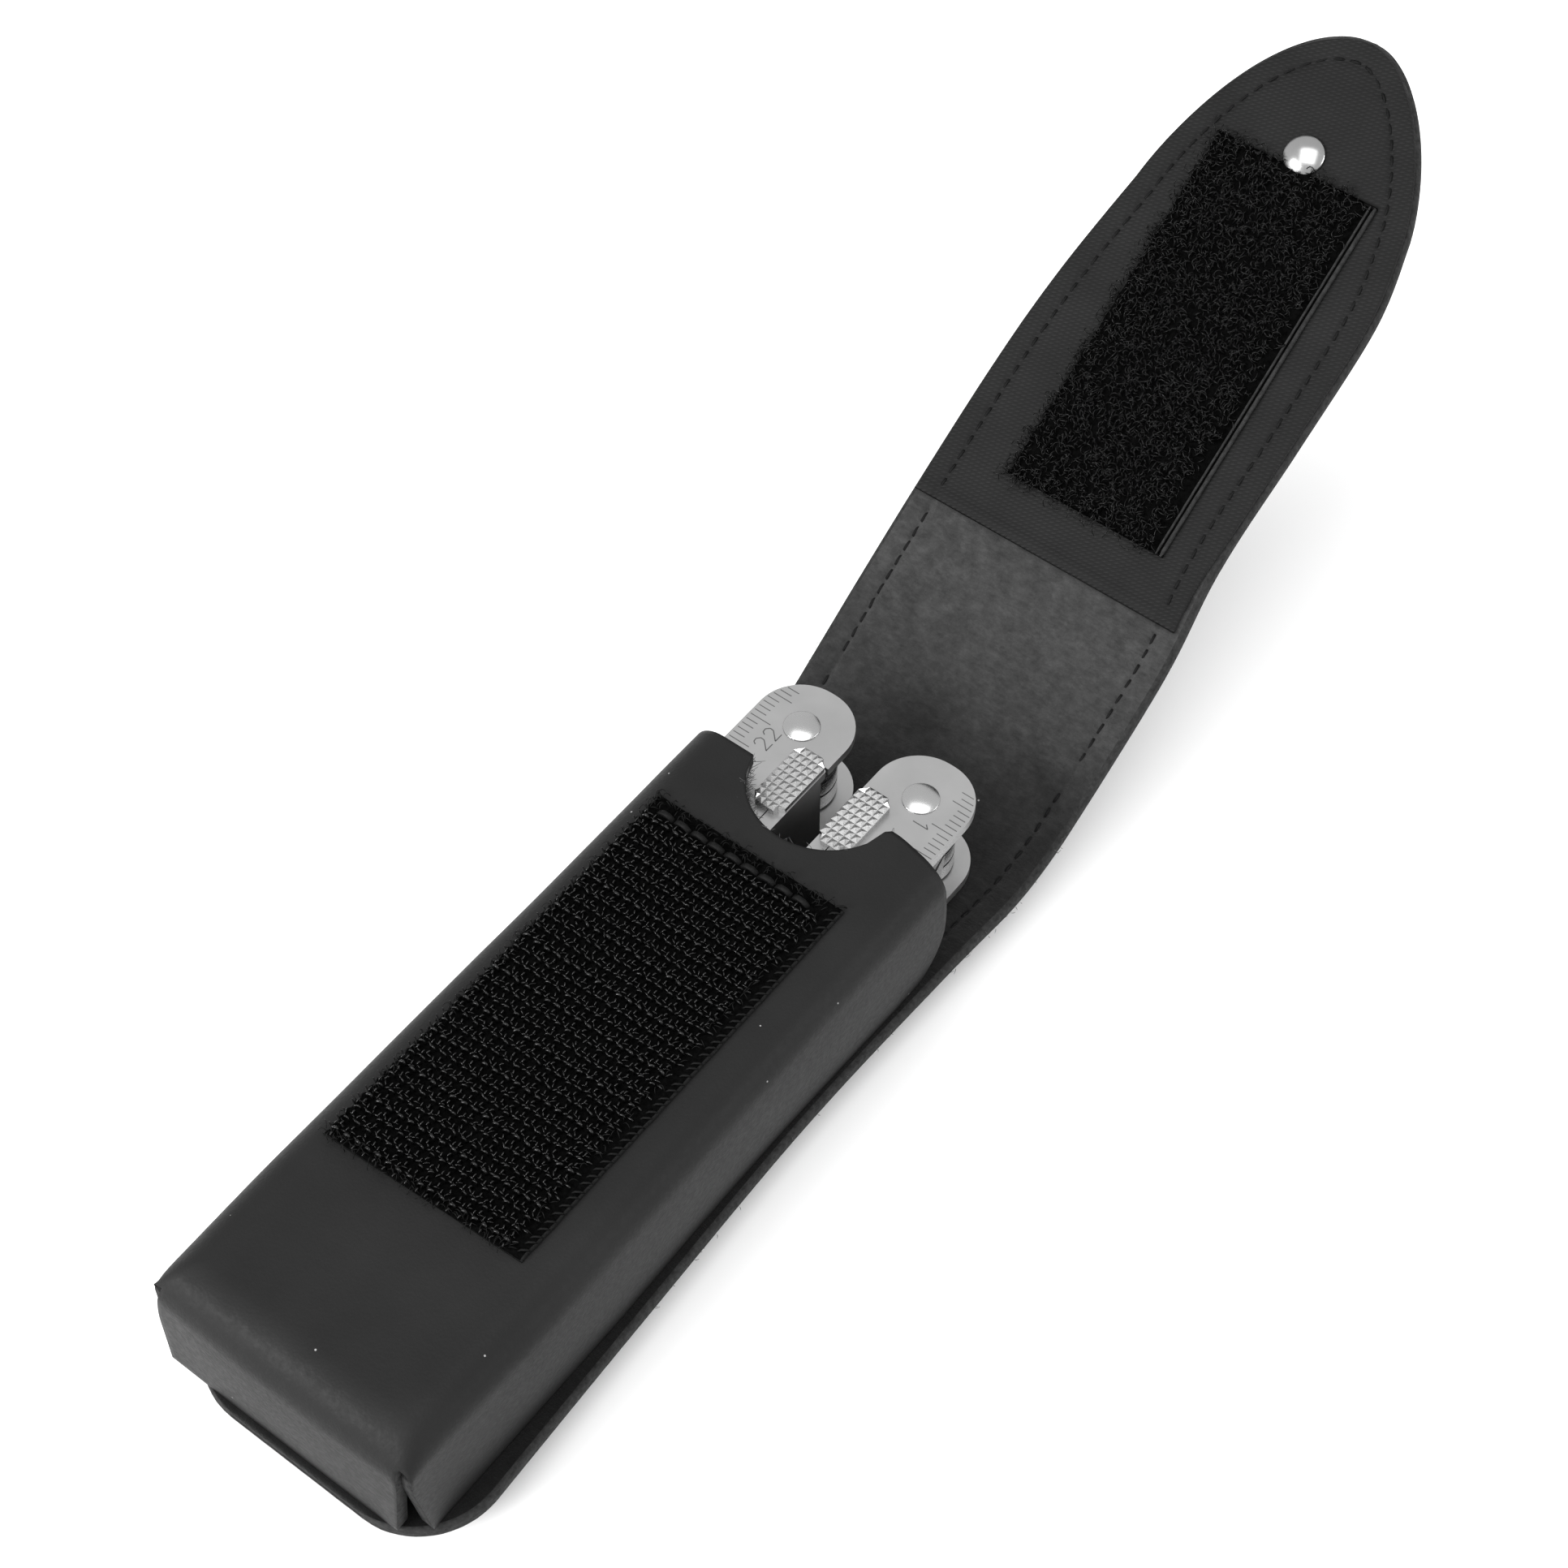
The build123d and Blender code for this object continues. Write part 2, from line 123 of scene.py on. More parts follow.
# ---- mesh helpers
def obj_from(name, verts, faces, mats=(), face_mat=None, smooth=True, uv=None, tidy_normals=False):
    mesh = bpy.data.meshes.new(name)
    mesh.from_pydata([tuple(v) for v in verts], [], faces)
    if tidy_normals:
        bm = bmesh.new()
        bm.from_mesh(mesh)
        bmesh.ops.recalc_face_normals(bm, faces=bm.faces)
        bm.to_mesh(mesh)
        bm.free()
    for m in mats:
        mesh.materials.append(m)
    if face_mat:
        mesh.polygons.foreach_set("material_index", face_mat)
    if smooth:
        mesh.polygons.foreach_set("use_smooth", [True] * len(mesh.polygons))
    if uv:
        layer = mesh.uv_layers.new(name="cloth")
        corners = [uv[loop.vertex_index] for loop in mesh.loops]
        layer.data.foreach_set("uv", [c for pair in corners for c in pair])
    obj = bpy.data.objects.new(name, mesh)
    bpy.context.scene.collection.objects.link(obj)
    return obj


def loft(rings, cap=(True, True)):
    """Vertices and faces of a tube through rings of equal length."""
    n = len(rings[0])
    verts = [p for r in rings for p in r]
    faces = []
    for a in range(len(rings) - 1):
        for i in range(n):
            j = (i + 1) % n
            faces.append((a * n + i, a * n + j, (a + 1) * n + j, (a + 1) * n + i))
    if cap[0]:
        faces.append(tuple(reversed(range(n))))
    if cap[1]:
        faces.append(tuple(range((len(rings) - 1) * n, len(rings) * n)))
    return verts, faces


def apply_modifiers(obj):
    graph = bpy.context.evaluated_depsgraph_get()
    mesh = bpy.data.meshes.new_from_object(obj.evaluated_get(graph))
    obj.modifiers.clear()
    obj.data = mesh
    return obj


class Threads:
    """Many fine round threads gathered into one mesh."""

    def __init__(self, sides=4):
        self.sides = sides
        self.verts = []
        self.faces = []

    def add(self, points, radius, ends=0.6):
        n, first, last = self.sides, len(self.verts), len(points) - 1
        side = None
        for k, p in enumerate(points):
            along = (points[min(k + 1, last)] - points[max(k - 1, 0)]).normalized()
            side = along.orthogonal() if side is None else side - along * side.dot(along)
            side.normalize()
            up = along.cross(side)
            r = radius * MM * (ends if k in (0, last) else 1.0)
            for q in range(n):
                a = 2 * math.pi * q / n
                self.verts.append(p + (side * math.cos(a) + up * math.sin(a)) * r)
        for k in range(last):
            for q in range(n):
                a, b = first + k * n + q, first + k * n + (q + 1) % n
                self.faces.append((a, b, b + n, a + n))
        self.faces.append(tuple(reversed(range(first, first + n))))
        self.faces.append(tuple(range(first + last * n, first + (last + 1) * n)))

    def make(self, name, mat):
        return obj_from(name, self.verts, self.faces, (mat,))


def even_steps(first, last, step):
    count = max(1, math.ceil((last - first) / step))
    return [first + (last - first) * k / count for k in range(count + 1)]


# ---- materials
def material(name, coord="Object"):
    m = bpy.data.materials.new(name)
    m.use_nodes = True
    nodes, links = m.node_tree.nodes, m.node_tree.links
    nodes.clear()
    out = nodes.new("ShaderNodeOutputMaterial")
    bsdf = nodes.new("ShaderNodeBsdfPrincipled")
    links.new(bsdf.outputs[0], out.inputs[0])
    return m, nodes, links, bsdf, nodes.new("ShaderNodeTexCoord").outputs[coord]


def stretched(nodes, links, coord, scale, turn=0.0):
    mapping = nodes.new("ShaderNodeMapping")
    mapping.inputs["Scale"].default_value = scale
    mapping.inputs["Rotation"].default_value = (0, 0, turn)
    links.new(coord, mapping.inputs["Vector"])
    return mapping.outputs[0]


def noise_tex(nodes, links, coord, scale, detail=4.0, rough=0.5, stretch=None):
    tex = nodes.new("ShaderNodeTexNoise")
    tex.inputs["Scale"].default_value = scale
    tex.inputs["Detail"].default_value = detail
    tex.inputs["Roughness"].default_value = rough
    links.new(stretched(nodes, links, coord, stretch) if stretch else coord, tex.inputs["Vector"])
    return tex.outputs["Fac"]


def wave_tex(nodes, links, coord, scale, direction, distortion=0.0):
    tex = nodes.new("ShaderNodeTexWave")
    tex.bands_direction = direction
    tex.inputs["Scale"].default_value = scale
    tex.inputs["Distortion"].default_value = distortion
    links.new(coord, tex.inputs["Vector"])
    return tex.outputs["Fac"]


def ramp(nodes, links, fac, stops):
    r = nodes.new("ShaderNodeValToRGB")
    els = r.color_ramp.elements
    while len(els) < len(stops):
        els.new(0.5)
    for e, (pos, value) in zip(els, stops):
        e.position = pos
        e.color = (value, value, value, 1)
    links.new(fac, r.inputs[0])
    return r.outputs[0]


def math_node(nodes, links, operation, a, b):
    n = nodes.new("ShaderNodeMath")
    n.operation = operation
    for socket, value in zip(n.inputs, (a, b)):
        if isinstance(value, (int, float)):
            socket.default_value = value
        else:
            links.new(value, socket)
    return n.outputs[0]


def bump(nodes, links, bsdf, height, strength, distance, under=None):
    b = nodes.new("ShaderNodeBump")
    b.inputs["Strength"].default_value = strength
    b.inputs["Distance"].default_value = distance
    links.new(height, b.inputs["Height"])
    if under:
        links.new(under, b.inputs["Normal"])
    links.new(b.outputs[0], bsdf.inputs["Normal"])
    return b.outputs[0]


def add_lint(nodes, links, coord, tone, scale):
    """Adds rare pale specks of lint to a tone."""
    cells = nodes.new("ShaderNodeTexVoronoi")
    cells.inputs["Scale"].default_value = scale
    links.new(coord, cells.inputs["Vector"])
    split = nodes.new("ShaderNodeSeparateColor")
    links.new(cells.outputs["Color"], split.inputs[0])
    near = math_node(nodes, links, "LESS_THAN", cells.outputs["Distance"], 0.06)
    rare = math_node(nodes, links, "GREATER_THAN", split.outputs[0], 0.93)
    speck = math_node(nodes, links, "MULTIPLY", math_node(nodes, links, "MULTIPLY", near, rare), 0.25)
    return math_node(nodes, links, "ADD", speck, tone)


def leather_material():
    """Smooth black cowhide: fine pebble, faint pulls, and a soft sheen."""
    m, nodes, links, bsdf, coord = material("smooth_leather")
    cells = nodes.new("ShaderNodeTexVoronoi")
    cells.inputs["Scale"].default_value = 2600.0
    links.new(coord, cells.inputs["Vector"])
    fine = noise_tex(nodes, links, coord, 1400.0, 3.0)
    broad = noise_tex(nodes, links, coord, 60.0, 5.0)
    tone = ramp(nodes, links, broad, [(0.3, 0.009), (0.7, 0.0125)])
    links.new(add_lint(nodes, links, coord, tone, 420.0), bsdf.inputs["Base Color"])
    links.new(ramp(nodes, links, fine, [(0.3, 0.48), (0.7, 0.58)]), bsdf.inputs["Roughness"])
    bsdf.inputs["Specular IOR Level"].default_value = 0.13
    low = bump(nodes, links, bsdf, cells.outputs["Distance"], 0.10, 0.0002)
    mid = bump(nodes, links, bsdf, fine, 0.10, 0.0002, low)
    bump(nodes, links, bsdf, broad, 0.20, 0.0012, mid)
    return m


# Where the painted shade on the suede ends, a little way up the flap past the mouth's fold.
SHADE_AND_RUB_TO = FOLD_Y + 31.0


def suede_material():
    """Flesh side of the leather: short nap, mottled, flecked with lint; painted shade darkens it under the
    shell and up to the mouth's fold, with a little grime where the tool rubs it.
    """
    m, nodes, links, bsdf, coord = material("suede")
    fine = noise_tex(nodes, links, coord, 1000.0, 6.0, 0.8, (0.6, 1.5, 1.0))
    broad = noise_tex(nodes, links, coord, 380.0, 6.0, 0.7)
    mix = math_node(nodes, links, "MULTIPLY", math_node(nodes, links, "ADD", fine, broad), 0.5)
    tone = ramp(nodes, links, mix, [(0.36, 0.018), (0.5, 0.033), (0.64, 0.052)])
    # Painted shade: the suede is near black up to the mouth (s about 108), where the shell and the tool
    # shade the back panel and its flange, and it lightens up the flap past the fold; a little of the
    # darkening near the mouth is grime rubbed on by the tool.
    split = nodes.new("ShaderNodeSeparateXYZ")
    links.new(nodes["Texture Coordinate"].outputs["UV"], split.inputs[0])
    shade_and_rub = ramp(nodes, links, math_node(nodes, links, "DIVIDE", split.outputs[1], 20.0),
                  [(0.54, 0.08), (0.65, 0.34), (SHADE_AND_RUB_TO / 200, 1.0)])
    tone = math_node(nodes, links, "MULTIPLY", tone, shade_and_rub)
    links.new(add_lint(nodes, links, coord, tone, 380.0), bsdf.inputs["Base Color"])
    bsdf.inputs["Roughness"].default_value = 0.95
    bsdf.inputs["Specular IOR Level"].default_value = 0.15
    bsdf.inputs["Sheen Weight"].default_value = 0.12
    bsdf.inputs["Sheen Roughness"].default_value = 0.5
    low = bump(nodes, links, bsdf, broad, 0.35, 0.0008)
    bump(nodes, links, bsdf, fine, 0.6, 0.0005, low)
    return m


def twill_material():
    """Lining cloth: fine diagonal twill, with a faint weft across it."""
    m, nodes, links, bsdf, coord = material("lining_twill", "UV")
    diagonal = wave_tex(nodes, links, stretched(nodes, links, coord, (1, 1, 1), 0.9), 5.6, "X", 0.4)
    weft = wave_tex(nodes, links, coord, 5.0, "Y", 0.3)
    broad = noise_tex(nodes, links, coord, 1.2, 4.0)
    weave = math_node(nodes, links, "MULTIPLY", diagonal, weft)
    tone = math_node(nodes, links, "MULTIPLY", ramp(nodes, links, weave, [(0.1, 0.5), (0.9, 1.1)]),
                     ramp(nodes, links, broad, [(0.3, 0.0085), (0.7, 0.013)]))
    links.new(tone, bsdf.inputs["Base Color"])
    bsdf.inputs["Roughness"].default_value = 0.75
    bsdf.inputs["Specular IOR Level"].default_value = 0.2
    bump(nodes, links, bsdf, weave, 0.6, 0.00012)
    return m


def plain(name, low, high, scale, roughness, strength=0.3, distance=0.0002, specular=0.5):
    m, nodes, links, bsdf, coord = material(name)
    tone = noise_tex(nodes, links, coord, scale, 4.0, 0.6)
    links.new(ramp(nodes, links, tone, [(0.3, low), (0.7, high)]), bsdf.inputs["Base Color"])
    bsdf.inputs["Roughness"].default_value = roughness
    bsdf.inputs["Specular IOR Level"].default_value = specular
    bump(nodes, links, bsdf, tone, strength, distance)
    return m


def steel_material(name, tone, roughness, grain, stretch):
    """Stainless steel with finishing lines: stretch is small along them and large across."""
    m, nodes, links, bsdf, coord = material(name)
    lines = noise_tex(nodes, links, coord, 220.0, 4.0, 0.6, stretch)
    smears = noise_tex(nodes, links, coord, 130.0, 3.0)
    shades = [(0.3, tone - 0.03), (0.7, tone + 0.03)]
    links.new(ramp(nodes, links, smears, shades), bsdf.inputs["Base Color"])
    bsdf.inputs["Metallic"].default_value = 1.0
    spread = [(0.3, roughness - 0.04), (0.7, roughness + 0.06)]
    links.new(ramp(nodes, links, lines, spread), bsdf.inputs["Roughness"])
    bump(nodes, links, bsdf, lines, grain, 0.0001)
    return m


LEATHER_MAT = leather_material()
SUEDE = suede_material()
TWILL = twill_material()
EDGE = plain("cut_edge", 0.010, 0.030, 1300.0, 0.9, 0.7, 0.0004, 0.2)
TAPE = plain("tape_weave", 0.003, 0.009, 2200.0, 0.75, 0.8, 0.0004, 0.14)
# Painted shade: the tape's upper face under the pile and the hooks is darker than the same nylon tape
# elsewhere, standing in for the shade between the fibres and hooks.
SHADED_TAPE_GROUND = plain("pile_ground", 0.0005, 0.0025, 1500.0, 0.9, 0.8, 0.0004, 0.02)
HOOKS = plain("hook_nylon", 0.001, 0.004, 2500.0, 0.24, 0.3, 0.0002, 0.34)
LOOPS = plain("loop_nylon", 0.0005, 0.008, 900.0, 0.30, 0.3, 0.0002, 0.24)
THREAD = plain("thread", 0.002, 0.006, 3500.0, 0.60, 0.3, 0.0002, 0.12)
LINT = plain("cut_fibre", 0.04, 0.09, 3000.0, 0.8)
ALONG, FINE = (40, 1, 40), (30, 30, 30)
STEEL = steel_material("satin_steel", 0.47, 0.34, 0.05, FINE)
BLADES = steel_material("blade_steel", 0.50, 0.24, 0.06, ALONG)
KNURL = steel_material("knurled_steel", 0.39, 0.27, 0.02, FINE)
POLISHED = steel_material("polished_steel", 0.42, 0.22, 0.01, FINE)
JAWS = steel_material("jaw_steel", 0.50, 0.38, 0.2, FINE)
RIVETS = steel_material("rivet_steel", 0.50, 0.24, 0.01, FINE)
# Painted shade: the ruler's lines and numbers are flat dark strips standing in for the shade inside
# engraved grooves.
GROOVE_SHADE_STEEL = steel_material("engraved_groove_shade", 0.14, 0.5, 0.3, FINE)


# ---- moulded front shell
SHELL_HALF = SHELL_W / 2 - 0.1
DEPTH = SHELL_TOP - PANEL_TOP
SIDE_R, END_R = 4.6, 6.0
SIDE_LEN = SHELL_HALF - SIDE_R + SIDE_R * math.pi / 2 + DEPTH - SIDE_R
END_LEN = END_R * math.pi / 2 + DEPTH - 2 * END_R
MOUTH_FROM = 80.0
SLIT_FROM = 8.0
NOTCH_X, NOTCH_Y, NOTCH_R = -0.3, 112.9, 11.6
LIP_Y = 110.3
LIP_SWELL = 1.2
LIP_FALL = 6.5
LIP_FALL_FROM = 11.0


def sag(x, y):
    """How far the shell's soft top dips between its folds."""
    return 0.5 * math.sin(math.pi * min(max((y - 6) / 100, 0), 1)) * (1 - (x / SHELL_HALF) ** 2)


def shell_top(x, y):
    return SHELL_TOP - sag(x, y)


def mouth_edge(u, drop):
    """Distance from the closed end to the mouth's lip, u across the blank and drop below its top."""
    lip = LIP_Y + LIP_SWELL * math.exp(-((u - 12.0) / 5) ** 2)
    reach = abs(u - NOTCH_X)
    if drop < 1 and reach < NOTCH_R:
        arc = NOTCH_Y - math.sqrt(NOTCH_R ** 2 - reach ** 2)
        blend = ease((NOTCH_R - reach) / 1.2)
        lip = min(lip, arc * blend + lip * (1 - blend))
    low = min(max((drop - LIP_FALL_FROM) / (DEPTH - LIP_FALL_FROM), 0), 1)
    return lip - LIP_FALL * (1 - math.sqrt(1 - low * low * 0.98))


def fold_over(t, flat, r):
    """Along and drop of a point t past the flat of a bend of radius r."""
    if t <= flat:
        return t, 0.0
    turn = (t - flat) / r
    if turn <= math.pi / 2:
        return flat + r * math.sin(turn), r * (1 - math.cos(turn))
    return flat + r, r + (t - flat - r * math.pi / 2)


def shell_place(u, v):
    """Place of the flat blank's point, u across and v along, once it is moulded over the tool."""
    x, drop_x = fold_over(abs(u), SHELL_HALF - SIDE_R, SIDE_R)
    if v > MOUTH_FROM:
        v = MOUTH_FROM + (v - MOUTH_FROM) * (mouth_edge(u, drop_x) - MOUTH_FROM)
    along, drop_y = fold_over(END_R - v, 0.0, END_R) if v < END_R else (END_R - v, 0.0)
    y = END_R - along
    near_corner = ease(1 - max(v, 0) / 10) * ease(1 - (SHELL_HALF - min(abs(u), SHELL_HALF)) / 10)
    drop = math.hypot(drop_x, drop_y) if min(drop_x, drop_y) < SIDE_R else max(drop_x, drop_y)
    drop += (1.2 if u > 0 else 0.4) * near_corner * ease(1 - drop / 9) - 0.3 * near_corner
    drop = max(drop, 0.0)
    opening = min(max((drop - SLIT_FROM) / (DEPTH - SLIT_FROM), 0), 1)
    if drop_y >= drop_x:
        beside = ease((x - SHELL_HALF + 7) / 7)
        x += (-2.0 * opening if u > 0 else 1.6 * ease(drop / 12)) * beside
        y -= 0.5 * math.sin(math.pi * min(drop / DEPTH, 1)) * (1 - (x / SHELL_HALF) ** 2)
    else:
        y += (2.2 if u > 0 else 0.6) * opening * max(0.0, 1 - y / 12)
        x += 0.7 * math.sin(math.pi * min(drop_x / DEPTH, 1)) * ease(y / 25)
        x -= 0.5 * math.sin(math.pi * min(max((y - 40) / 60, 0), 1)) * min(drop_x / DEPTH, 1)
    crease = ease(1 - abs(y - 2.0) / 6) * ease(1 - drop / 8) * ease(drop_y * 2 + 0.3)
    ripple = 0.07 * crease * wave(u * 0.35, v * 0.6, 3.0) + 0.05 * crease * wave(u * 0.8, v * 1.4, 9.0)
    wob = wave(x * 0.07 * (1 if u > 0 else 1.3), y * 0.05, drop * 0.1)
    high = SHELL_TOP - drop - sag(x, y) + 0.2 * wob * ease(y / 20) + ripple
    return at(math.copysign(x + 0.07 * wob, u), y - ripple, high)


def shell_leather():
    """Front shell: one piece of leather moulded over the tool, slit at the two lower corners."""
    cols = even_steps(-SIDE_LEN, SIDE_LEN, 0.75)
    top_reach = SHELL_HALF - SIDE_R + SIDE_R * math.pi / 4 + 0.01
    rows = even_steps(-END_LEN, 0, 0.75)[:-1] + even_steps(0, MOUTH_FROM, 0.8)
    rows += [MOUTH_FROM + k / 46 for k in range(1, 47)]
    grid, verts, faces = {}, [], []
    for j, v in enumerate(rows):
        for i, u in enumerate(cols):
            if v < 0 and abs(u) > top_reach:
                continue
            grid[i, j] = len(verts)
            verts.append(shell_place(u, v))
    for j in range(len(rows) - 1):
        for i in range(len(cols) - 1):
            keys = [(i, j), (i + 1, j), (i + 1, j + 1), (i, j + 1)]
            if all(k in grid for k in keys):
                faces.append([grid[k] for k in keys])
    obj = obj_from("shell_leather", verts, faces, (LEATHER_MAT, SUEDE, EDGE))
    solid = obj.modifiers.new("thickness", "SOLIDIFY")
    solid.thickness = WALL * MM
    solid.offset = -1
    solid.material_offset = 1
    solid.material_offset_rim = 2
    apply_modifiers(obj)
    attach(obj, "sheath")
    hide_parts("front_shell")


# ---- the back leather's line and outline
TAIL = -0.9
TIP = 131.2
TIP_X = 1.2


def spine(s):
    """Place along the leather's middle and its slope, s measured along it from the closed end."""
    start = FOLD_Y - BEND_RUN
    if s < start:
        return s, MID_Z, 0.0
    if s < start + BEND_ARC:
        t = (s - start) / BEND_R
        return start + BEND_R * math.sin(t), MID_Z + BEND_R * (1 - math.cos(t)), t
    run = s - start - BEND_ARC + BEND_RUN
    return FOLD_Y + run * math.cos(RISE), MID_Z + run * math.sin(RISE), RISE


def flap_s(s):
    """Distance along the leather of a place s past the fold at the mouth."""
    return FOLD_Y - 2 * BEND_RUN + BEND_ARC + s


def on_spine(s, x, up):
    """Point up off the leather's middle, with the flap's slight unevenness."""
    y, z, slope = spine(s)
    up += 0.3 * ease((s - flap_s(0)) / 20) * wave(x * 0.05, s * 0.045, 5.0)
    return at(x, y - up * math.sin(slope), z + up * math.cos(slope))


def smooth_through(points, step):
    """Points along a smooth line through the given ones."""
    line = []
    ends = [points[0]] + points + [points[-1]]
    for p0, p1, p2, p3 in zip(ends, ends[1:], ends[2:], ends[3:]):
        for t in even_steps(0, 1, step / math.dist(p1, p2))[:-1]:
            line.append(tuple(
                0.5 * (2 * b + (c - a) * t + (2 * a - 5 * b + 4 * c - d) * t * t
                       + (3 * b - a - 3 * c + d) * t ** 3)
                for a, b, c, d in zip(p0, p1, p2, p3)
            ))
    return line + [points[-1]]


def bezier(p0, p1, p2, p3, count):
    line = []
    for k in range(count + 1):
        t = k / count
        w = ((1 - t) ** 3, 3 * t * (1 - t) ** 2, 3 * t * t * (1 - t), t ** 3)
        line.append(tuple(sum(f * p[i] for f, p in zip(w, (p0, p1, p2, p3))) for i in (0, 1)))
    return line


def side_line(half, corner, waist, shoulder, lead, round_x, tip_x):
    """One side of the leather from tail to tip, as (s, distance from the middle)."""
    tail = []
    for k in range(13):
        a = math.pi / 2 * k / 12
        tail.append((TAIL + corner * (1 - math.cos(a)), half - corner + corner * math.sin(a)))
    body = smooth_through([tail[-1]] + waist + [shoulder], 1.0)
    end = (flap_s(TIP), tip_x)
    tip = bezier(shoulder, lead, (flap_s(TIP), round_x), end, 40)
    return np.array(tail + body[1:] + tip[1:])


RIGHT_SIDE = side_line(
    24.4, 12.0,
    [(40, 23.3), (78, 22.2), (110, 23.0), (flap_s(0), 24.0), (flap_s(33), 24.3), (flap_s(52), 22.8),
     (flap_s(73), 23.3), (flap_s(94), 23.6)],
    (flap_s(107), 21.3), (flap_s(117), 18.7), 9.5, TIP_X,
)
LEFT_SIDE = side_line(
    22.4, 12.5,
    [(40, 22.4), (78, 22.4), (110, 23.0), (flap_s(10), 24.0), (flap_s(41), 24.2), (flap_s(63), 23.9),
     (flap_s(81), 22.7)],
    (flap_s(98), 20.2), (flap_s(112), 18.9), 11.5, -TIP_X,
)
OUTLINE = np.vstack([LEFT_SIDE * (1, -1), RIGHT_SIDE[::-1][1:]])


def leather_edges(s):
    """Left and right edge of the leather at s."""
    left = np.interp(s, LEFT_SIDE[:, 0], LEFT_SIDE[:, 1])
    right = np.interp(s, RIGHT_SIDE[:, 0], RIGHT_SIDE[:, 1])
    return -float(left), float(right)


def edge_distance(s, x):
    return float(np.hypot(OUTLINE[:, 0] - s, OUTLINE[:, 1] - x).min())


STITCH_INSET = 4.0
STITCH_SEAT = 0.38
STITCH_PITCH = 2.5
STITCHED_FROM = 108.0


def stitch_groove(s, x):
    """Depth that the row of stitches presses into the leather."""
    gap = edge_distance(s, x) - STITCH_INSET
    pull = 0.75 + 0.25 * math.cos(2 * math.pi * s / STITCH_PITCH)
    return 0.42 * math.exp(-(gap / 0.55) ** 2) * pull * ease((s - STITCHED_FROM) / 4)


def leather_relief(s, x, face):
    inset = edge_distance(s, x)
    rough = 0.10 * wave(x * 0.30, s * 0.35, 1.0 * face) + 0.05 * wave(x * 1.1, s * 1.1, 4.0)
    return rough * ease(inset / 1.5) - stitch_groove(s, x)


def leather_across(x0, x1):
    """Places across the leather, close together beside the stitches."""
    insets = (0.0, 0.8, 1.6, 2.3, 2.7, 3.0, 3.3, 3.6, 3.9, 4.4, 5.2, 6.5, 8.5)
    tight = min(1.0, (x1 - x0) / 18)
    left = [x0 + i * tight for i in insets]
    right = [x1 - i * tight for i in reversed(insets)]
    gap = right[0] - left[-1]
    return left + [left[-1] + gap * k / 9 for k in range(1, 9)] + right


def evenly_across(count):
    return lambda x0, x1: [x0 + (x1 - x0) * k / count for k in range(count + 1)]


def strip(name, stations, edges, low, high, place, mats, across, relief, corner=0.7, ends=(True, True)):
    """Closed strip with rounded edges: mats are its upper face, lower face and sides."""
    turns = [math.radians(a) for a in (0, 30, 60)]
    rings, uv = [], []
    for s in stations:
        x0, x1 = edges(s)
        r = min(corner, (high - low) * 0.45, (x1 - x0) * 0.45)
        reach = min(s - stations[0] if ends[0] else r, stations[-1] - s if ends[1] else r, r)
        pinch = r - math.sqrt(max(r * r - (r - reach) ** 2, 0))
        top, bottom = high - pinch, low + pinch
        xs = across(x0 + r, x1 - r)
        ring = [(x, top + relief(s, x, 1)) for x in xs]
        ring += [(x1 - r + r * math.cos(a), top - r + r * math.sin(a)) for a in reversed(turns)]
        ring += [(x1 - r + r * math.cos(a), bottom + r - r * math.sin(a)) for a in turns]
        ring += [(x, bottom - relief(s, x, -1)) for x in reversed(xs)]
        ring += [(x0 + r - r * math.cos(a), bottom + r - r * math.sin(a)) for a in reversed(turns)]
        ring += [(x0 + r - r * math.cos(a), top - r + r * math.sin(a)) for a in turns]
        rings.append([place(s, x, up) for x, up in ring])
        uv += [(x / 10, s / 10) for x, _ in ring]
        side = 2 * len(turns) + 1
        labels = [0] * (len(xs) - 1) + [2] * side + [1] * (len(xs) - 1) + [2] * side
    verts, faces = loft(rings, ends)
    face_mat = labels * (len(stations) - 1)
    face_mat += [2] * (len(faces) - len(face_mat))
    return obj_from(name, verts, faces, mats, face_mat, uv=uv, tidy_normals=True)


SPLIT = flap_s(14.0)
STRAIGHT_END = flap_s(106)
STATION_STEP = 0.62
LOW, HIGH = -LEATHER / 2, LEATHER / 2


def toward_tip(end):
    """Stations from the flap's straight part to its tip, closer together as it rounds off."""
    reach = end - STRAIGHT_END
    return [STRAIGHT_END + reach * math.sin(math.radians(a)) for a in range(3, 91, 3)]


def follow_first_fold(piece):
    on_spine(flap_s(-7), 0, 0)
    on_spine(flap_s(7), 0, 0)
    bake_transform(piece)


def follow_second_fold(piece):
    start, end = on_spine(flap_s(BRIDGE_L - 7), 0, 0), on_spine(flap_s(BRIDGE_L + 7), 0, 0)
    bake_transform(piece)


def back_and_flap():
    """Back panel and flap: one long piece, cut into two objects inside its straight bridge."""
    mats = (SUEDE, LEATHER_MAT, EDGE)
    tail = [TAIL + 13 * (1 - math.cos(math.radians(a))) for a in range(0, 61, 5)]
    stations = tail + even_steps(tail[-1], SPLIT, STATION_STEP)[1:]
    args = (leather_edges, LOW, HIGH, on_spine, mats, leather_across, leather_relief)
    back = strip("back_leather", stations, *args, ends=(True, False))
    follow_first_fold(back)
    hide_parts("back_panel", "flap_bridge")
    stations = even_steps(SPLIT, STRAIGHT_END, STATION_STEP) + toward_tip(flap_s(TIP) - 0.02)
    tongue = strip("flap_leather", stations, *args, ends=(False, True))
    follow_second_fold(tongue)
    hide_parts("flap_tongue")


# ---- flap lining
LINING_T = 0.8
HEM = flap_s(41.0)
LINING_TOP = HIGH + LINING_T


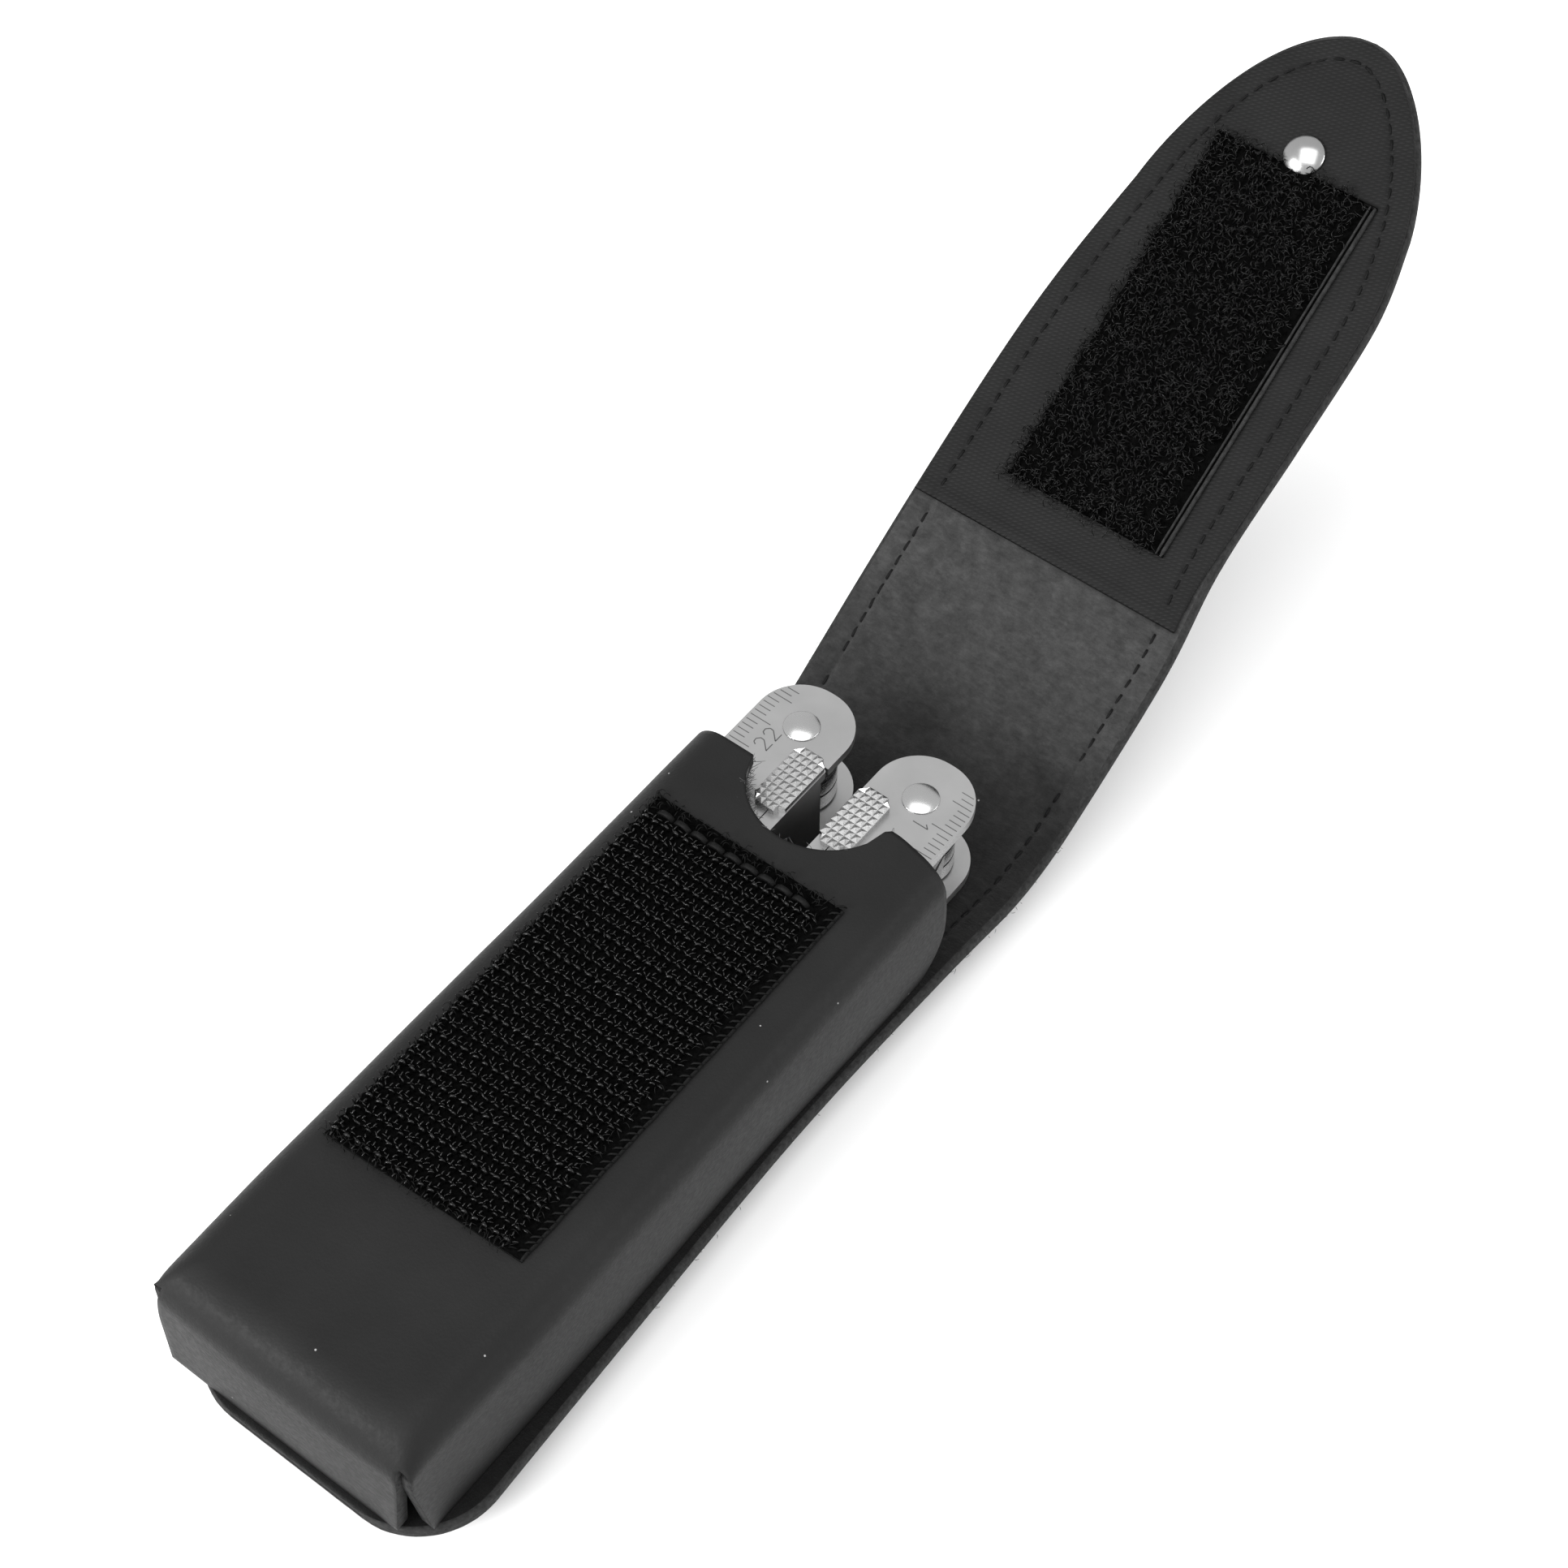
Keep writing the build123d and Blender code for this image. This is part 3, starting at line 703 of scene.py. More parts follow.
def lining_edges(s):
    inset = 0.5
    left, right = leather_edges(min(s + inset * 1.4 * ease((s - flap_s(100)) / 30), flap_s(TIP)))
    inset = min(inset, (right - left) * 0.45)
    return left + inset, right - inset - 0.9 * ease((flap_s(60) - s) / 18)


def lining_relief(s, x, face):
    if face < 0:
        return 0.0
    hem = 0.28 * math.exp(-((s - HEM - 1.0) / 0.9) ** 2) * (1 + 0.5 * wave(x * 0.5, 0.0, 2.0))
    return hem - 0.9 * stitch_groove(s, x) + 0.06 * wave(x * 0.3, s * 0.3, 7.0)


def lining():
    """Twill lining laid on the flap, from its hem to just short of the tip."""
    tip_end = flap_s(TIP) - 0.72
    start = [HEM, HEM + 0.1, HEM + 0.25]
    stations = start + even_steps(HEM + 0.5, STRAIGHT_END, STATION_STEP) + toward_tip(tip_end)
    mats = (TWILL, TWILL, TWILL)
    cloth = strip("flap_lining_cloth", stations, lining_edges, HIGH - 0.03, LINING_TOP, on_spine, mats,
                  leather_across, lining_relief, corner=0.35)
    widths = [lining_edges(s)[1] - lining_edges(s)[0] for s in stations]
    area = sum((b - a) * (p + q) / 2 for a, b, p, q in zip(stations, stations[1:], widths, widths[1:]))
    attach(cloth, "flap_upper")
    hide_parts("flap_lining")


# ---- stitching
def stitch_row(threads, path, pitch=STITCH_PITCH, length=1.9, radius=0.24, proud=0.12, sunk=0.40):
    """Running stitch along path, a list of places with the way out of the surface there."""
    gone = [0.0]
    for (a, _), (b, _) in zip(path, path[1:]):
        gone.append(gone[-1] + (b - a).length / MM)
    k = 0

    def walk(d):
        i = min(max(int(np.searchsorted(gone, d)) - 1, 0), len(path) - 2)
        t = (d - gone[i]) / max(gone[i + 1] - gone[i], 1e-9)
        return path[i][0].lerp(path[i + 1][0], t), path[i][1]

    while (k + 1) * pitch < gone[-1]:
        points = []
        skew = random.uniform(-0.08, 0.08)
        for part, rise in ((0, -sunk), (0.12, 0.0), (0.35, proud), (0.65, proud), (0.88, 0.0), (1, -sunk)):
            place, out = walk(k * pitch + part * length)
            ahead = walk(k * pitch + part * length + 0.1)[0] - place
            across = ahead.cross(out).normalized()
            points.append(place + out * rise * MM + across * skew * (part - 0.5) * 2 * MM)
        threads.add(points, radius)
        k += 1


def inset_outline(inset, s_from, s_to, sign, up):
    """Line inside the leather's edge with the way out of its upper (1) or lower (-1) face."""
    line = []
    for (s0, x0), (s1, x1) in zip(OUTLINE, OUTLINE[1:]):
        length = math.hypot(s1 - s0, x1 - x0)
        if length < 1e-6:
            continue
        s = (s0 + s1) / 2 - (x1 - x0) / length * inset
        x = (x0 + x1) / 2 + (s1 - s0) / length * inset
        if s_from <= s <= s_to:
            out = on_spine(s, x, 1.0) - on_spine(s, x, 0.0)
            line.append((on_spine(s, x, up), out.normalized() * sign))
    return line


def sides_of(line):
    """Splits a line that runs up one side and down the other into its two runs."""
    turn = next((k for k in range(len(line) - 1) if (line[k + 1][0] - line[k][0]).length > 8 * MM), None)
    return [line] if turn is None else [line[:turn + 1], line[turn + 1:]]


def flap_stitching():
    """Rows of stitches on both faces, a few millimetres inside the leather's edge."""
    lower, upper = Threads(), Threads()
    for run in sides_of(inset_outline(STITCH_INSET, STITCHED_FROM, SPLIT - 0.6, 1, HIGH - STITCH_SEAT)):
        stitch_row(lower, run)
    for run in sides_of(inset_outline(STITCH_INSET, STITCHED_FROM, SPLIT - 0.6, -1, LOW + STITCH_SEAT)):
        stitch_row(lower, run)
    for run in sides_of(inset_outline(STITCH_INSET, SPLIT + 0.4, HEM - 0.4, 1, HIGH - STITCH_SEAT)):
        stitch_row(upper, run)
    stitch_row(upper, inset_outline(STITCH_INSET, HEM + 0.6, flap_s(TIP), 1, LINING_TOP - 0.36))
    stitch_row(upper, inset_outline(STITCH_INSET, SPLIT + 0.4, flap_s(TIP), -1, LOW + STITCH_SEAT))
    back = lower.make("back_stitching", THREAD)
    follow_first_fold(back)
    front = upper.make("flap_stitching", THREAD)
    follow_second_fold(front)


# ---- loop patch on the flap
loop_lo, loop_hi = node_box("loop_patch")
LOOP_X0, LOOP_X1 = loop_lo.x, loop_hi.x
LOOP_FROM, LOOP_TO = flap_s(49.0), flap_s(109.6)
PILE = 1.7
BARE = 2.3
PILE_FIBRES = 5200
snap_lo, snap_hi = node_box("snap_cap")
SNAP_X = (snap_lo.x + snap_hi.x) / 2
SNAP_S = flap_s(((snap_lo + snap_hi) / 2 - fold_a).dot(Vector((0, math.cos(RISE), math.sin(RISE)))))


def pile_ground(s, x, face):
    """Lumpy ground under the pile, which drops to the bare selvedge."""
    if face < 0:
        return 0.0
    return 0.16 * wave(x * 0.9, s * 0.9, 2.0) - 0.4 * ease((x - LOOP_X1 + BARE) / 0.5)


def loop_patch():
    """Loop half of the touch fastener: a dense pile of curled fibres on a tape with a selvedge."""
    tape = strip("loop_tape", even_steps(LOOP_FROM + 0.6, LOOP_TO - 0.6, 0.7),
                 lambda s: (LOOP_X0 + 0.6 + 0.2 * wave(0, s * 0.6), LOOP_X1 + 0.1 * wave(5, s * 0.3)),
                 LINING_TOP - 0.1, LINING_TOP + 0.7, on_spine, (SHADED_TAPE_GROUND, TAPE, TAPE), evenly_across(34),
                 pile_ground, corner=0.4)
    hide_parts("loop_patch")
    pile = Threads(3)
    for _ in range(PILE_FIBRES):
        x = random.uniform(LOOP_X0 + 0.3, LOOP_X1 - BARE)
        s = random.uniform(LOOP_FROM + 0.2, LOOP_TO - 0.2)
        if math.hypot(x - SNAP_X, s - SNAP_S) < 3.7:
            continue
        heading = random.uniform(0, 2 * math.pi)
        curl = random.uniform(1.2, 4.2) * random.choice((-1, 1))
        length = random.uniform(1.1, 2.6)
        tall = random.uniform(0.35, PILE - 0.35)
        points = []
        px, ps = x, s
        for k in range(7):
            t = k / 6
            points.append(on_spine(ps, px, LINING_TOP + 0.45 + tall * math.sin(math.pi * t)))
            px += math.cos(heading + curl * t) * length / 6
            ps += math.sin(heading + curl * t) * length / 6
        pile.add(points, random.uniform(0.05, 0.095))
    fibres = pile.make("loop_pile", LOOPS)
    selvedge = Threads(5)
    for x, r in ((LOOP_X1 - 0.3, 0.34), (LOOP_X1 - 1.1, 0.22)):
        row = [on_spine(s, x, LINING_TOP + 0.5) for s in even_steps(LOOP_FROM + 0.6, LOOP_TO - 0.8, 0.9)]
        selvedge.add([p + Vector((0, 0, random.uniform(-0.05, 0.05) * MM)) for p in row], r)
    edge = selvedge.make("loop_selvedge", EDGE)
    for piece in (tape, fibres, edge):
        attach(piece, "flap_upper")


# ---- hook patch on the shell
hook_lo, hook_hi = node_box("hook_patch")
HOOK_X0, HOOK_X1 = hook_lo.x, hook_hi.x
HOOK_Y0, HOOK_Y1 = hook_lo.y - END_Y, hook_hi.y - END_Y
SELVEDGE = 2.6
TAPE_T = 0.6
TAPE_SUNK = 0.5
FUZZ_FIBRES = 420


def on_shell(y, x, up):
    return at(x, y, shell_top(x, y) + up)


def on_tape(y, x, up):
    """Place on the hook tape, which is sewn on a little askew at its lower left corner."""
    low, left = (HOOK_Y1 - y) / (HOOK_Y1 - HOOK_Y0), (HOOK_X1 - x) / (HOOK_X1 - HOOK_X0)
    return on_shell(y - 1.4 * low * left, x, up)


def tape_edges(s):
    """Scalloped left edge and nearly straight right edge of the tape."""
    return HOOK_X0 + 0.2 * math.cos(2 * math.pi * s / 1.4), HOOK_X1 + 0.1 * wave(3, s * 0.4)


def tape_relief(s, x, face):
    """Faint unevenness of the tape's upper face."""
    if face < 0:
        return 0.0
    return 0.05 * wave(x * 0.9, s * 0.9, 2.0) + 0.05 * wave(x * 2.1, s * 2.1, 6.0)


def hook_patch():
    """Hook half of the touch fastener: rows of nylon hooks on a woven tape."""
    tape = strip("hook_tape", even_steps(HOOK_Y0, HOOK_Y1, 0.4), tape_edges, -TAPE_SUNK, TAPE_T,
                 on_tape, (SHADED_TAPE_GROUND, TAPE, TAPE), evenly_across(40), tape_relief, corner=0.3)
    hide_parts("hook_patch")
    hooks = Threads(5)
    pitch, row_pitch = 1.72, 2.07
    head = ((-0.42, 0.25), (-0.36, 0.80), (-0.13, 1.08), (0.15, 1.08), (0.38, 0.78), (0.44, 0.30))
    hook = ((0.0, 0.0), (-0.05, 0.55), (0.05, 0.85), (0.28, 1.0), (0.52, 0.92), (0.66, STATION_STEP))
    weft = ((-0.6, 0.0), (-0.3, 0.26), (0, 0.34), (0.3, 0.26), (0.6, 0.0))

    def bent(x, y, turn, curve, radius):
        ux, uy = math.cos(turn), math.sin(turn)
        points = [on_tape(y + uy * a, x + ux * a, TAPE_T - 0.1 + b) for a, b in curve]
        hooks.add(points, radius, 0.75)

    rows = even_steps(HOOK_Y0 + 1.0, HOOK_Y1 - 4.4, row_pitch)
    columns = even_steps(HOOK_X0 + 1.3, HOOK_X1 - SELVEDGE - 0.6, pitch)
    for j, y in enumerate(rows):
        for x in columns:
            px, py = x + random.uniform(-0.1, 0.1), y + random.uniform(-0.1, 0.1)
            thick = random.uniform(0.20, 0.24) if j % 3 == 0 else random.uniform(0.13, 0.16)
            bent(px, py, random.gauss(0.15, 0.2), head, thick)
            bent(px + 0.1, py - 0.55, random.gauss(-1.5, 0.25), hook, 0.12)
            bent(px - 0.6, py + 0.5, random.gauss(1.5, 0.25), hook, 0.10)
            bent(px + pitch / 2, py + 0.5, random.gauss(0.1, 0.35), weft, 0.15)
            bent(px, py + 1.0, random.gauss(0.1, 0.5), weft, 0.12)
    field = hooks.make("hook_field", HOOKS)
    trim = Threads(4)
    seam = []
    for x in even_steps(HOOK_X0 + 2, HOOK_X1 - SELVEDGE - 0.5, 0.5):
        seam.append((on_tape(HOOK_Y1 - 2.6, x, TAPE_T + 0.15), Vector((0, 0, 1))))
    stitch_row(trim, seam, pitch=2.9, length=2.7, radius=0.5, proud=0.45, sunk=0.5)
    for y in even_steps(HOOK_Y0 + 0.6, HOOK_Y1 - 0.6, 1.35):
        for x, out, tall in ((HOOK_X0, -1, 0.55), (HOOK_X1 - 0.5, 1, 0.5)):
            jitter = random.uniform(-0.2, 0.2)
            curve = ((-0.9, -0.15), (-0.5, 0.2), (0.1, tall * 0.5), (0.45, -0.2))
            points = [
                on_tape(y + jitter + 0.35 * k, x + out * a, TAPE_T + b)
                for k, (a, b) in enumerate(curve)
            ]
            trim.add(points, 0.17)
    for _ in range(FUZZ_FIBRES):
        along = random.random()
        if random.random() < 0.5:
            x, y = random.choice((HOOK_X0 + 0.6, HOOK_X1 - SELVEDGE)), HOOK_Y0 + along * (HOOK_Y1 - HOOK_Y0)
        else:
            x = HOOK_X0 + along * (HOOK_X1 - HOOK_X0 - SELVEDGE)
            y = random.choice((HOOK_Y0 + 0.5, HOOK_Y1 - 0.9)) + random.uniform(-0.4, 0.4)
        turn, curl = random.uniform(0, 2 * math.pi), random.uniform(-2.5, 2.5)
        points = []
        for k in range(6):
            points.append(on_tape(y, x, TAPE_T + 0.7 * math.sin(math.pi * k / 5) + 0.05))
            x += 0.28 * math.cos(turn + curl * k / 5)
            y += 0.28 * math.sin(turn + curl * k / 5)
        trim.add(points, 0.06)
    border = trim.make("hook_trim", THREAD)
    for piece in (tape, field, border):
        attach(piece, "sheath")


# ---- belt loop
def belt_loop():
    """Leather strap stitched along both sides and meeting the back at both ends, with room for a belt under
    it.
    """
    lo, hi = node_box("belt_loop")
    thick = 1.8
    mid = (lo.y + hi.y) / 2 - END_Y
    tab, flat, ramp_run, rise = (hi.y - lo.y) / 2, 23.5, 7.0, panel_lo.z - thick
    half, rounding = (hi.x - lo.x) / 2, 3.0

    def place(t, x, up):
        turn = min(max((abs(t) - flat) / ramp_run, 0), 1)
        z = thick / 2 + rise * ease(turn)
        slope = 6 * turn * (1 - turn) * rise / ramp_run
        tilt = math.atan(slope) * (1 if t > 0 else -1)
        return at(x, mid + t - up * math.sin(tilt), z + up * math.cos(tilt))

    def edges(t):
        inset = max(0.0, rounding - (tab - abs(t)))
        reach = half - rounding + math.sqrt(rounding ** 2 - inset ** 2)
        return -reach, reach

    def relief(t, x, face):
        return 0.03 * wave(x * 0.4, t * 0.4, face)

    strap = strip("belt_loop_strap", even_steps(-tab, tab, 0.7), edges, -thick / 2, thick / 2, place,
                  (SUEDE, LEATHER_MAT, EDGE), evenly_across(36), relief, corner=0.5)
    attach(strap, "sheath")
    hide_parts("belt_loop")
    threads = Threads()
    for x in (-half + 2.5, half - 2.5):
        path = []
        for t in even_steps(-tab + 2.5, tab - 2.5, 0.8):
            out = place(t, x, -1.0) - place(t, x, 0.0)
            path.append((place(t, x, -thick / 2), out.normalized()))
        stitch_row(threads, path, radius=0.17, proud=0.02, sunk=0.3)
    rows = threads.make("belt_loop_stitching", THREAD)
    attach(rows, "sheath")


# ---- snap and rivets
def turned(name, profile, place, mat, steps=48):
    """Solid turned from (radius, height) points; place puts (across, along, up) in the frame."""
    rings = []
    for r, h in profile:
        turns = [2 * math.pi * k / steps for k in range(steps)]
        rings.append([place(r * math.cos(a), -r * math.sin(a), h) for a in turns])
    verts, faces = loft(rings)
    return obj_from(name, verts, faces, (mat,), tidy_normals=True)


def dome(radius, height, foot, steps=8):
    """Profile of a low dome of a given radius and height on a flat foot."""
    ball = (radius ** 2 + height ** 2) / (2 * height)
    line = []
    for k in range(steps + 1):
        r = radius * (1 - k / steps)
        line.append((max(r, 0.02), foot + math.sqrt(ball ** 2 - r ** 2) - ball + height))
    return line


def snap():
    """Domed cap of the snap, with a rolled rim, and its post with a low button on the outer face."""
    rim = [(2.9, -0.1), (3.1, 0.0), (3.18, 0.2), (3.12, 0.38)]
    cap = turned("snap_dome", rim + dome(3.0, 1.0, 0.5),
                 lambda x, y, z: on_spine(SNAP_S + y, SNAP_X + x, LINING_TOP + z), POLISHED)
    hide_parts("snap_cap")
    shaft, head = 1.5, 4.0
    profile = [(shaft, HIGH), (shaft, LOW + 0.3), (head - 0.1, LOW + 0.3), (head, LOW), (head, LOW - 0.2)]
    profile += [(r, LOW - h) for r, h in dome(head - 0.12, 0.45, 0.3)]
    post = turned("snap_button", profile,
                  lambda x, y, z: on_spine(SNAP_S + y, SNAP_X + x, z), POLISHED)
    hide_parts("snap_post")
    for piece in (cap, post):
        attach(piece, "flap_upper")


def domed_rivet(node, body):
    """Rivet with a domed head at both ends, rounder than the CAD's."""
    lo, hi = node_box(node)
    x, y = (lo.x + hi.x) / 2, (lo.y + hi.y) / 2 - END_Y
    radius, shaft, tall = (hi.x - lo.x) / 2, 1.5, 0.8
    z0, z1 = lo.z + 0.7, hi.z - 0.7
    rim = [(shaft, 0.0), (radius - 0.12, 0.0), (radius, 0.08), (radius, 0.16)]
    upper = [(r, z1 + h) for r, h in rim] + dome(radius - 0.06, tall - 0.2, z1 + 0.2)
    lower = [(r, z0 + z1 - h) for r, h in reversed(upper)]
    piece = turned(f"{node}_domed", lower + upper, lambda dx, dy, z: at(x + dx, y + dy, z), RIVETS)
    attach(piece, body)
    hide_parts(node)


# ---- lock slides
EXTRA = 1.6


def knurled_slide(hand):
    """Thumb slide of the lock: a pad with cut corners, covered in sharp pyramids.

    It reaches EXTRA further down the handle than the CAD's slide.
    """
    lo, hi = node_box(f"{hand}_lock_slide")
    plate_top = node_box(f"{hand}_top_plate")[1].z
    x0, x1, y0, y1 = lo.x, hi.x, lo.y - END_Y - EXTRA, hi.y - END_Y
    across, along, valley, peak, clip = 5, 9, hi.z - 0.28, hi.z + 0.1, 0.85
    last = along * (across + 1) + across
    verts, faces = [], []
    for j in range(along + 1):
        for i in range(across + 1):
            x, y = x0 + (x1 - x0) * i / across, y0 + (y1 - y0) * j / along
            if i in (0, across) and j in (0, along):
                x += clip * (1 if i == 0 else -1)
                y += clip * (1 if j == 0 else -1)
            verts.append(at(x, y, valley))
    for j in range(along):
        for i in range(across):
            a = j * (across + 1) + i
            ring = (a, a + 1, a + across + 2, a + across + 1)
            middle = sum((verts[k] for k in ring), Vector()) / 4
            middle.z = peak * MM
            verts.append(middle)
            faces += [(ring[k], ring[(k + 1) % 4], len(verts) - 1) for k in range(4)]
    rim = list(range(across)) + [j * (across + 1) + across for j in range(along)]
    rim += [last - k for k in range(across)] + [j * (across + 1) for j in range(along, 0, -1)]
    foot = len(verts)
    for k in rim:
        low = verts[k].copy()
        low.z = (plate_top - 0.3) * MM
        verts.append(low)
    for k in range(len(rim)):
        n = (k + 1) % len(rim)
        faces.append((rim[k], foot + k, foot + n, rim[n]))
    faces.append(tuple(foot + k for k in reversed(range(len(rim)))))
    pad = obj_from(f"{hand}_slide_pad", verts, faces, (KNURL,), smooth=False, tidy_normals=True)
    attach(pad, f"{hand}_lock")
    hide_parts(f"{hand}_lock_slide")


# ---- ruler lines and numbers
STROKES = {
    "0": [((0.5, 0), (0.15, 0.15), (0, 0.5), (0.15, 0.85), (0.5, 1), (0.85, 0.85), (1, 0.5),
           (0.85, 0.15), (0.5, 0))],
    "1": [((0.15, 0.75), (0.55, 1), (0.55, 0))],
    "2": [((0, 0.78), (0.2, 0.97), (0.6, 1), (0.95, 0.8), (0.9, 0.55), (0, 0), (1, 0))],
    "3": [((0, 0.95), (0.9, 1), (0.45, 0.6), (0.95, 0.35), (0.6, 0), (0, 0.08))],
    "4": [((0.75, 0), (0.75, 1), (0, 0.3), (1, 0.3))],
    "5": [((0.95, 1), (0.1, 1), (0.05, 0.55), (0.6, 0.6), (0.95, 0.3), (0.6, 0), (0, 0.08))],
    "6": [((0.8, 1), (0.2, 0.6), (0.05, 0.25), (0.5, 0), (0.95, 0.25), (0.6, 0.55), (0.1, 0.4))],
    "7": [((0, 1), (1, 1), (0.35, 0))],
    "8": [((0.5, 0.53), (0.1, 0.78), (0.5, 1), (0.9, 0.78), (0.5, 0.53), (0, 0.25), (0.5, 0),
           (1, 0.25), (0.5, 0.53))],
    "9": [((0.2, 0), (0.85, 0.45), (0.9, 0.8), (0.5, 1), (0.05, 0.75), (0.4, 0.45), (0.88, 0.6))],
}
DIGIT_H, DIGIT_W, DIGIT_GAP = 2.5, 1.5, 0.65
LINE_HALF, DIGIT_HALF, PROUD = 0.075, 0.085, 0.012
TIP_R = 7.2


def ruler(hand, sign, first):
    """Millimetre scale along the handle's outer edge, numbered from the tip down."""
    lo, hi = node_box(f"{hand}_top_plate")
    edge = lo.x if sign < 0 else hi.x
    tip, head, top = hi.y - END_Y, lo.y - END_Y, hi.z
    verts, faces = [], []

    def mark(a, b, half):
        """Narrow flat line from a to b, each (across from the edge, y), just proud of the plate, dark with
        painted groove shade.
        """
        (ax, ay), (bx, by) = ((edge - sign * p[0], p[1]) for p in (a, b))
        length = math.hypot(bx - ax, by - ay)
        nx, ny = -(by - ay) / length * half, (bx - ax) / length * half
        base = len(verts)
        for z in (top + PROUD, top - 0.05):
            for x, y in ((ax + nx, ay + ny), (bx + nx, by + ny), (bx - nx, by - ny), (ax - nx, ay - ny)):
                verts.append(at(x, y, z))
        faces.append([base + k for k in range(4)])
        faces.append([base + 7 - k for k in range(4)])
        for k in range(4):
            j = (k + 1) % 4
            faces.append([base + k, base + k + 4, base + j + 4, base + j])

    count = int(tip - head) - 6
    for k in range(3, count):
        y = tip - k
        start = 0.35
        if k < 6:
            start += TIP_R - math.sqrt(max(TIP_R ** 2 - (TIP_R - k) ** 2, 0))
        mark((start, y), (3.9 if k % 5 == 0 else start + 2.0, y), LINE_HALF)
    for n in range(1, count // 10 + 1):
        label = str(first - n + 1 if sign < 0 else n)
        wide = len(label) * DIGIT_W + (len(label) - 1) * DIGIT_GAP
        for i, digit in enumerate(label):
            offset = -wide / 2 + i * (DIGIT_W + DIGIT_GAP)
            for line in STROKES[digit]:
                spots = []
                for dx, dy in line:
                    run = offset + dx * DIGIT_W
                    y = tip - 10 * n - 0.4 - wide / 2 + (run if sign < 0 else -run)
                    spots.append((3.75 + DIGIT_H - dy * DIGIT_H, y))
                for a, b in zip(spots, spots[1:]):
                    mark(a, b, DIGIT_HALF)
    marks = obj_from(f"{hand}_ruler", verts, faces, (GROOVE_SHADE_STEEL,), smooth=False, tidy_normals=True)
    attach(marks, f"{hand}_handle")


# ---- loose fibres on cut edges
LIP_FIBRES, EDGE_FIBRES = 230, 260


def cut_fibres():
    """Short fibres standing off the shell's cut lip and the leather's edges."""
    shell, back = Threads(3), Threads(3)
    for _ in range(LIP_FIBRES):
        u = random.uniform(-13, 12) if random.random() < 0.75 else random.uniform(-20, 20)
        if -9 > u > -12 or random.random() < 0.7:
            u = random.gauss(-9.4, 0.9)
        root = shell_place(u, MOUTH_FROM + 1) - Vector((0, 0, random.uniform(0.1, 1.9) * MM))
        lean = 0.4 if u < 0 else -0.2
        way = Vector((random.gauss(lean, 0.5), random.gauss(0.6, 0.4), random.gauss(0.3, 0.5)))
        step = way.normalized() * random.uniform(0.08, 0.2) * MM
        bend = Vector([random.gauss(0, 0.03) * MM for _ in range(3)])
        shell.add([root + step * k + bend * k * k for k in range(5)], 0.045)
    for _ in range(EDGE_FIBRES):
        k = random.randrange(40, len(OUTLINE) - 40)
        s, x = OUTLINE[k]
        if s > SPLIT:
            continue
        out = 1 if x > 0 else -1
        up = random.uniform(LOW, HIGH)
        bend = [random.gauss(0, 0.05) for _ in range(2)]
        points = [on_spine(s + bend[0] * q * q, x + out * 0.12 * q, up + bend[1] * q) for q in range(4)]
        back.add(points, 0.04)
    lip = shell.make("mouth_fibres", LINT)
    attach(lip, "sheath")
    rim = back.make("edge_fibres", LINT)
    follow_first_fold(rim)


# ---- steel parts kept from the CAD
FINISH = {
    "satin_steel": STEEL,
    "knurled_steel": KNURL,
    "polished_steel": POLISHED,
    "jaw_steel": JAWS,
}
GROUND = ("blade", "saw", "spring", "file", "driver", "opener", "lifter", "awl")


def finish_cad():
    slots = {p["node"]: p["material_slot"] for p in frame["record"]["subparts"]}
    for name, obj in frame["nodes"].items():
        mat = BLADES if any(word in name for word in GROUND) else FINISH.get(slots[name], TAPE)
        for s in obj.material_slots:
            s.material = mat
        if not obj.material_slots:
            obj.data.materials.append(mat)


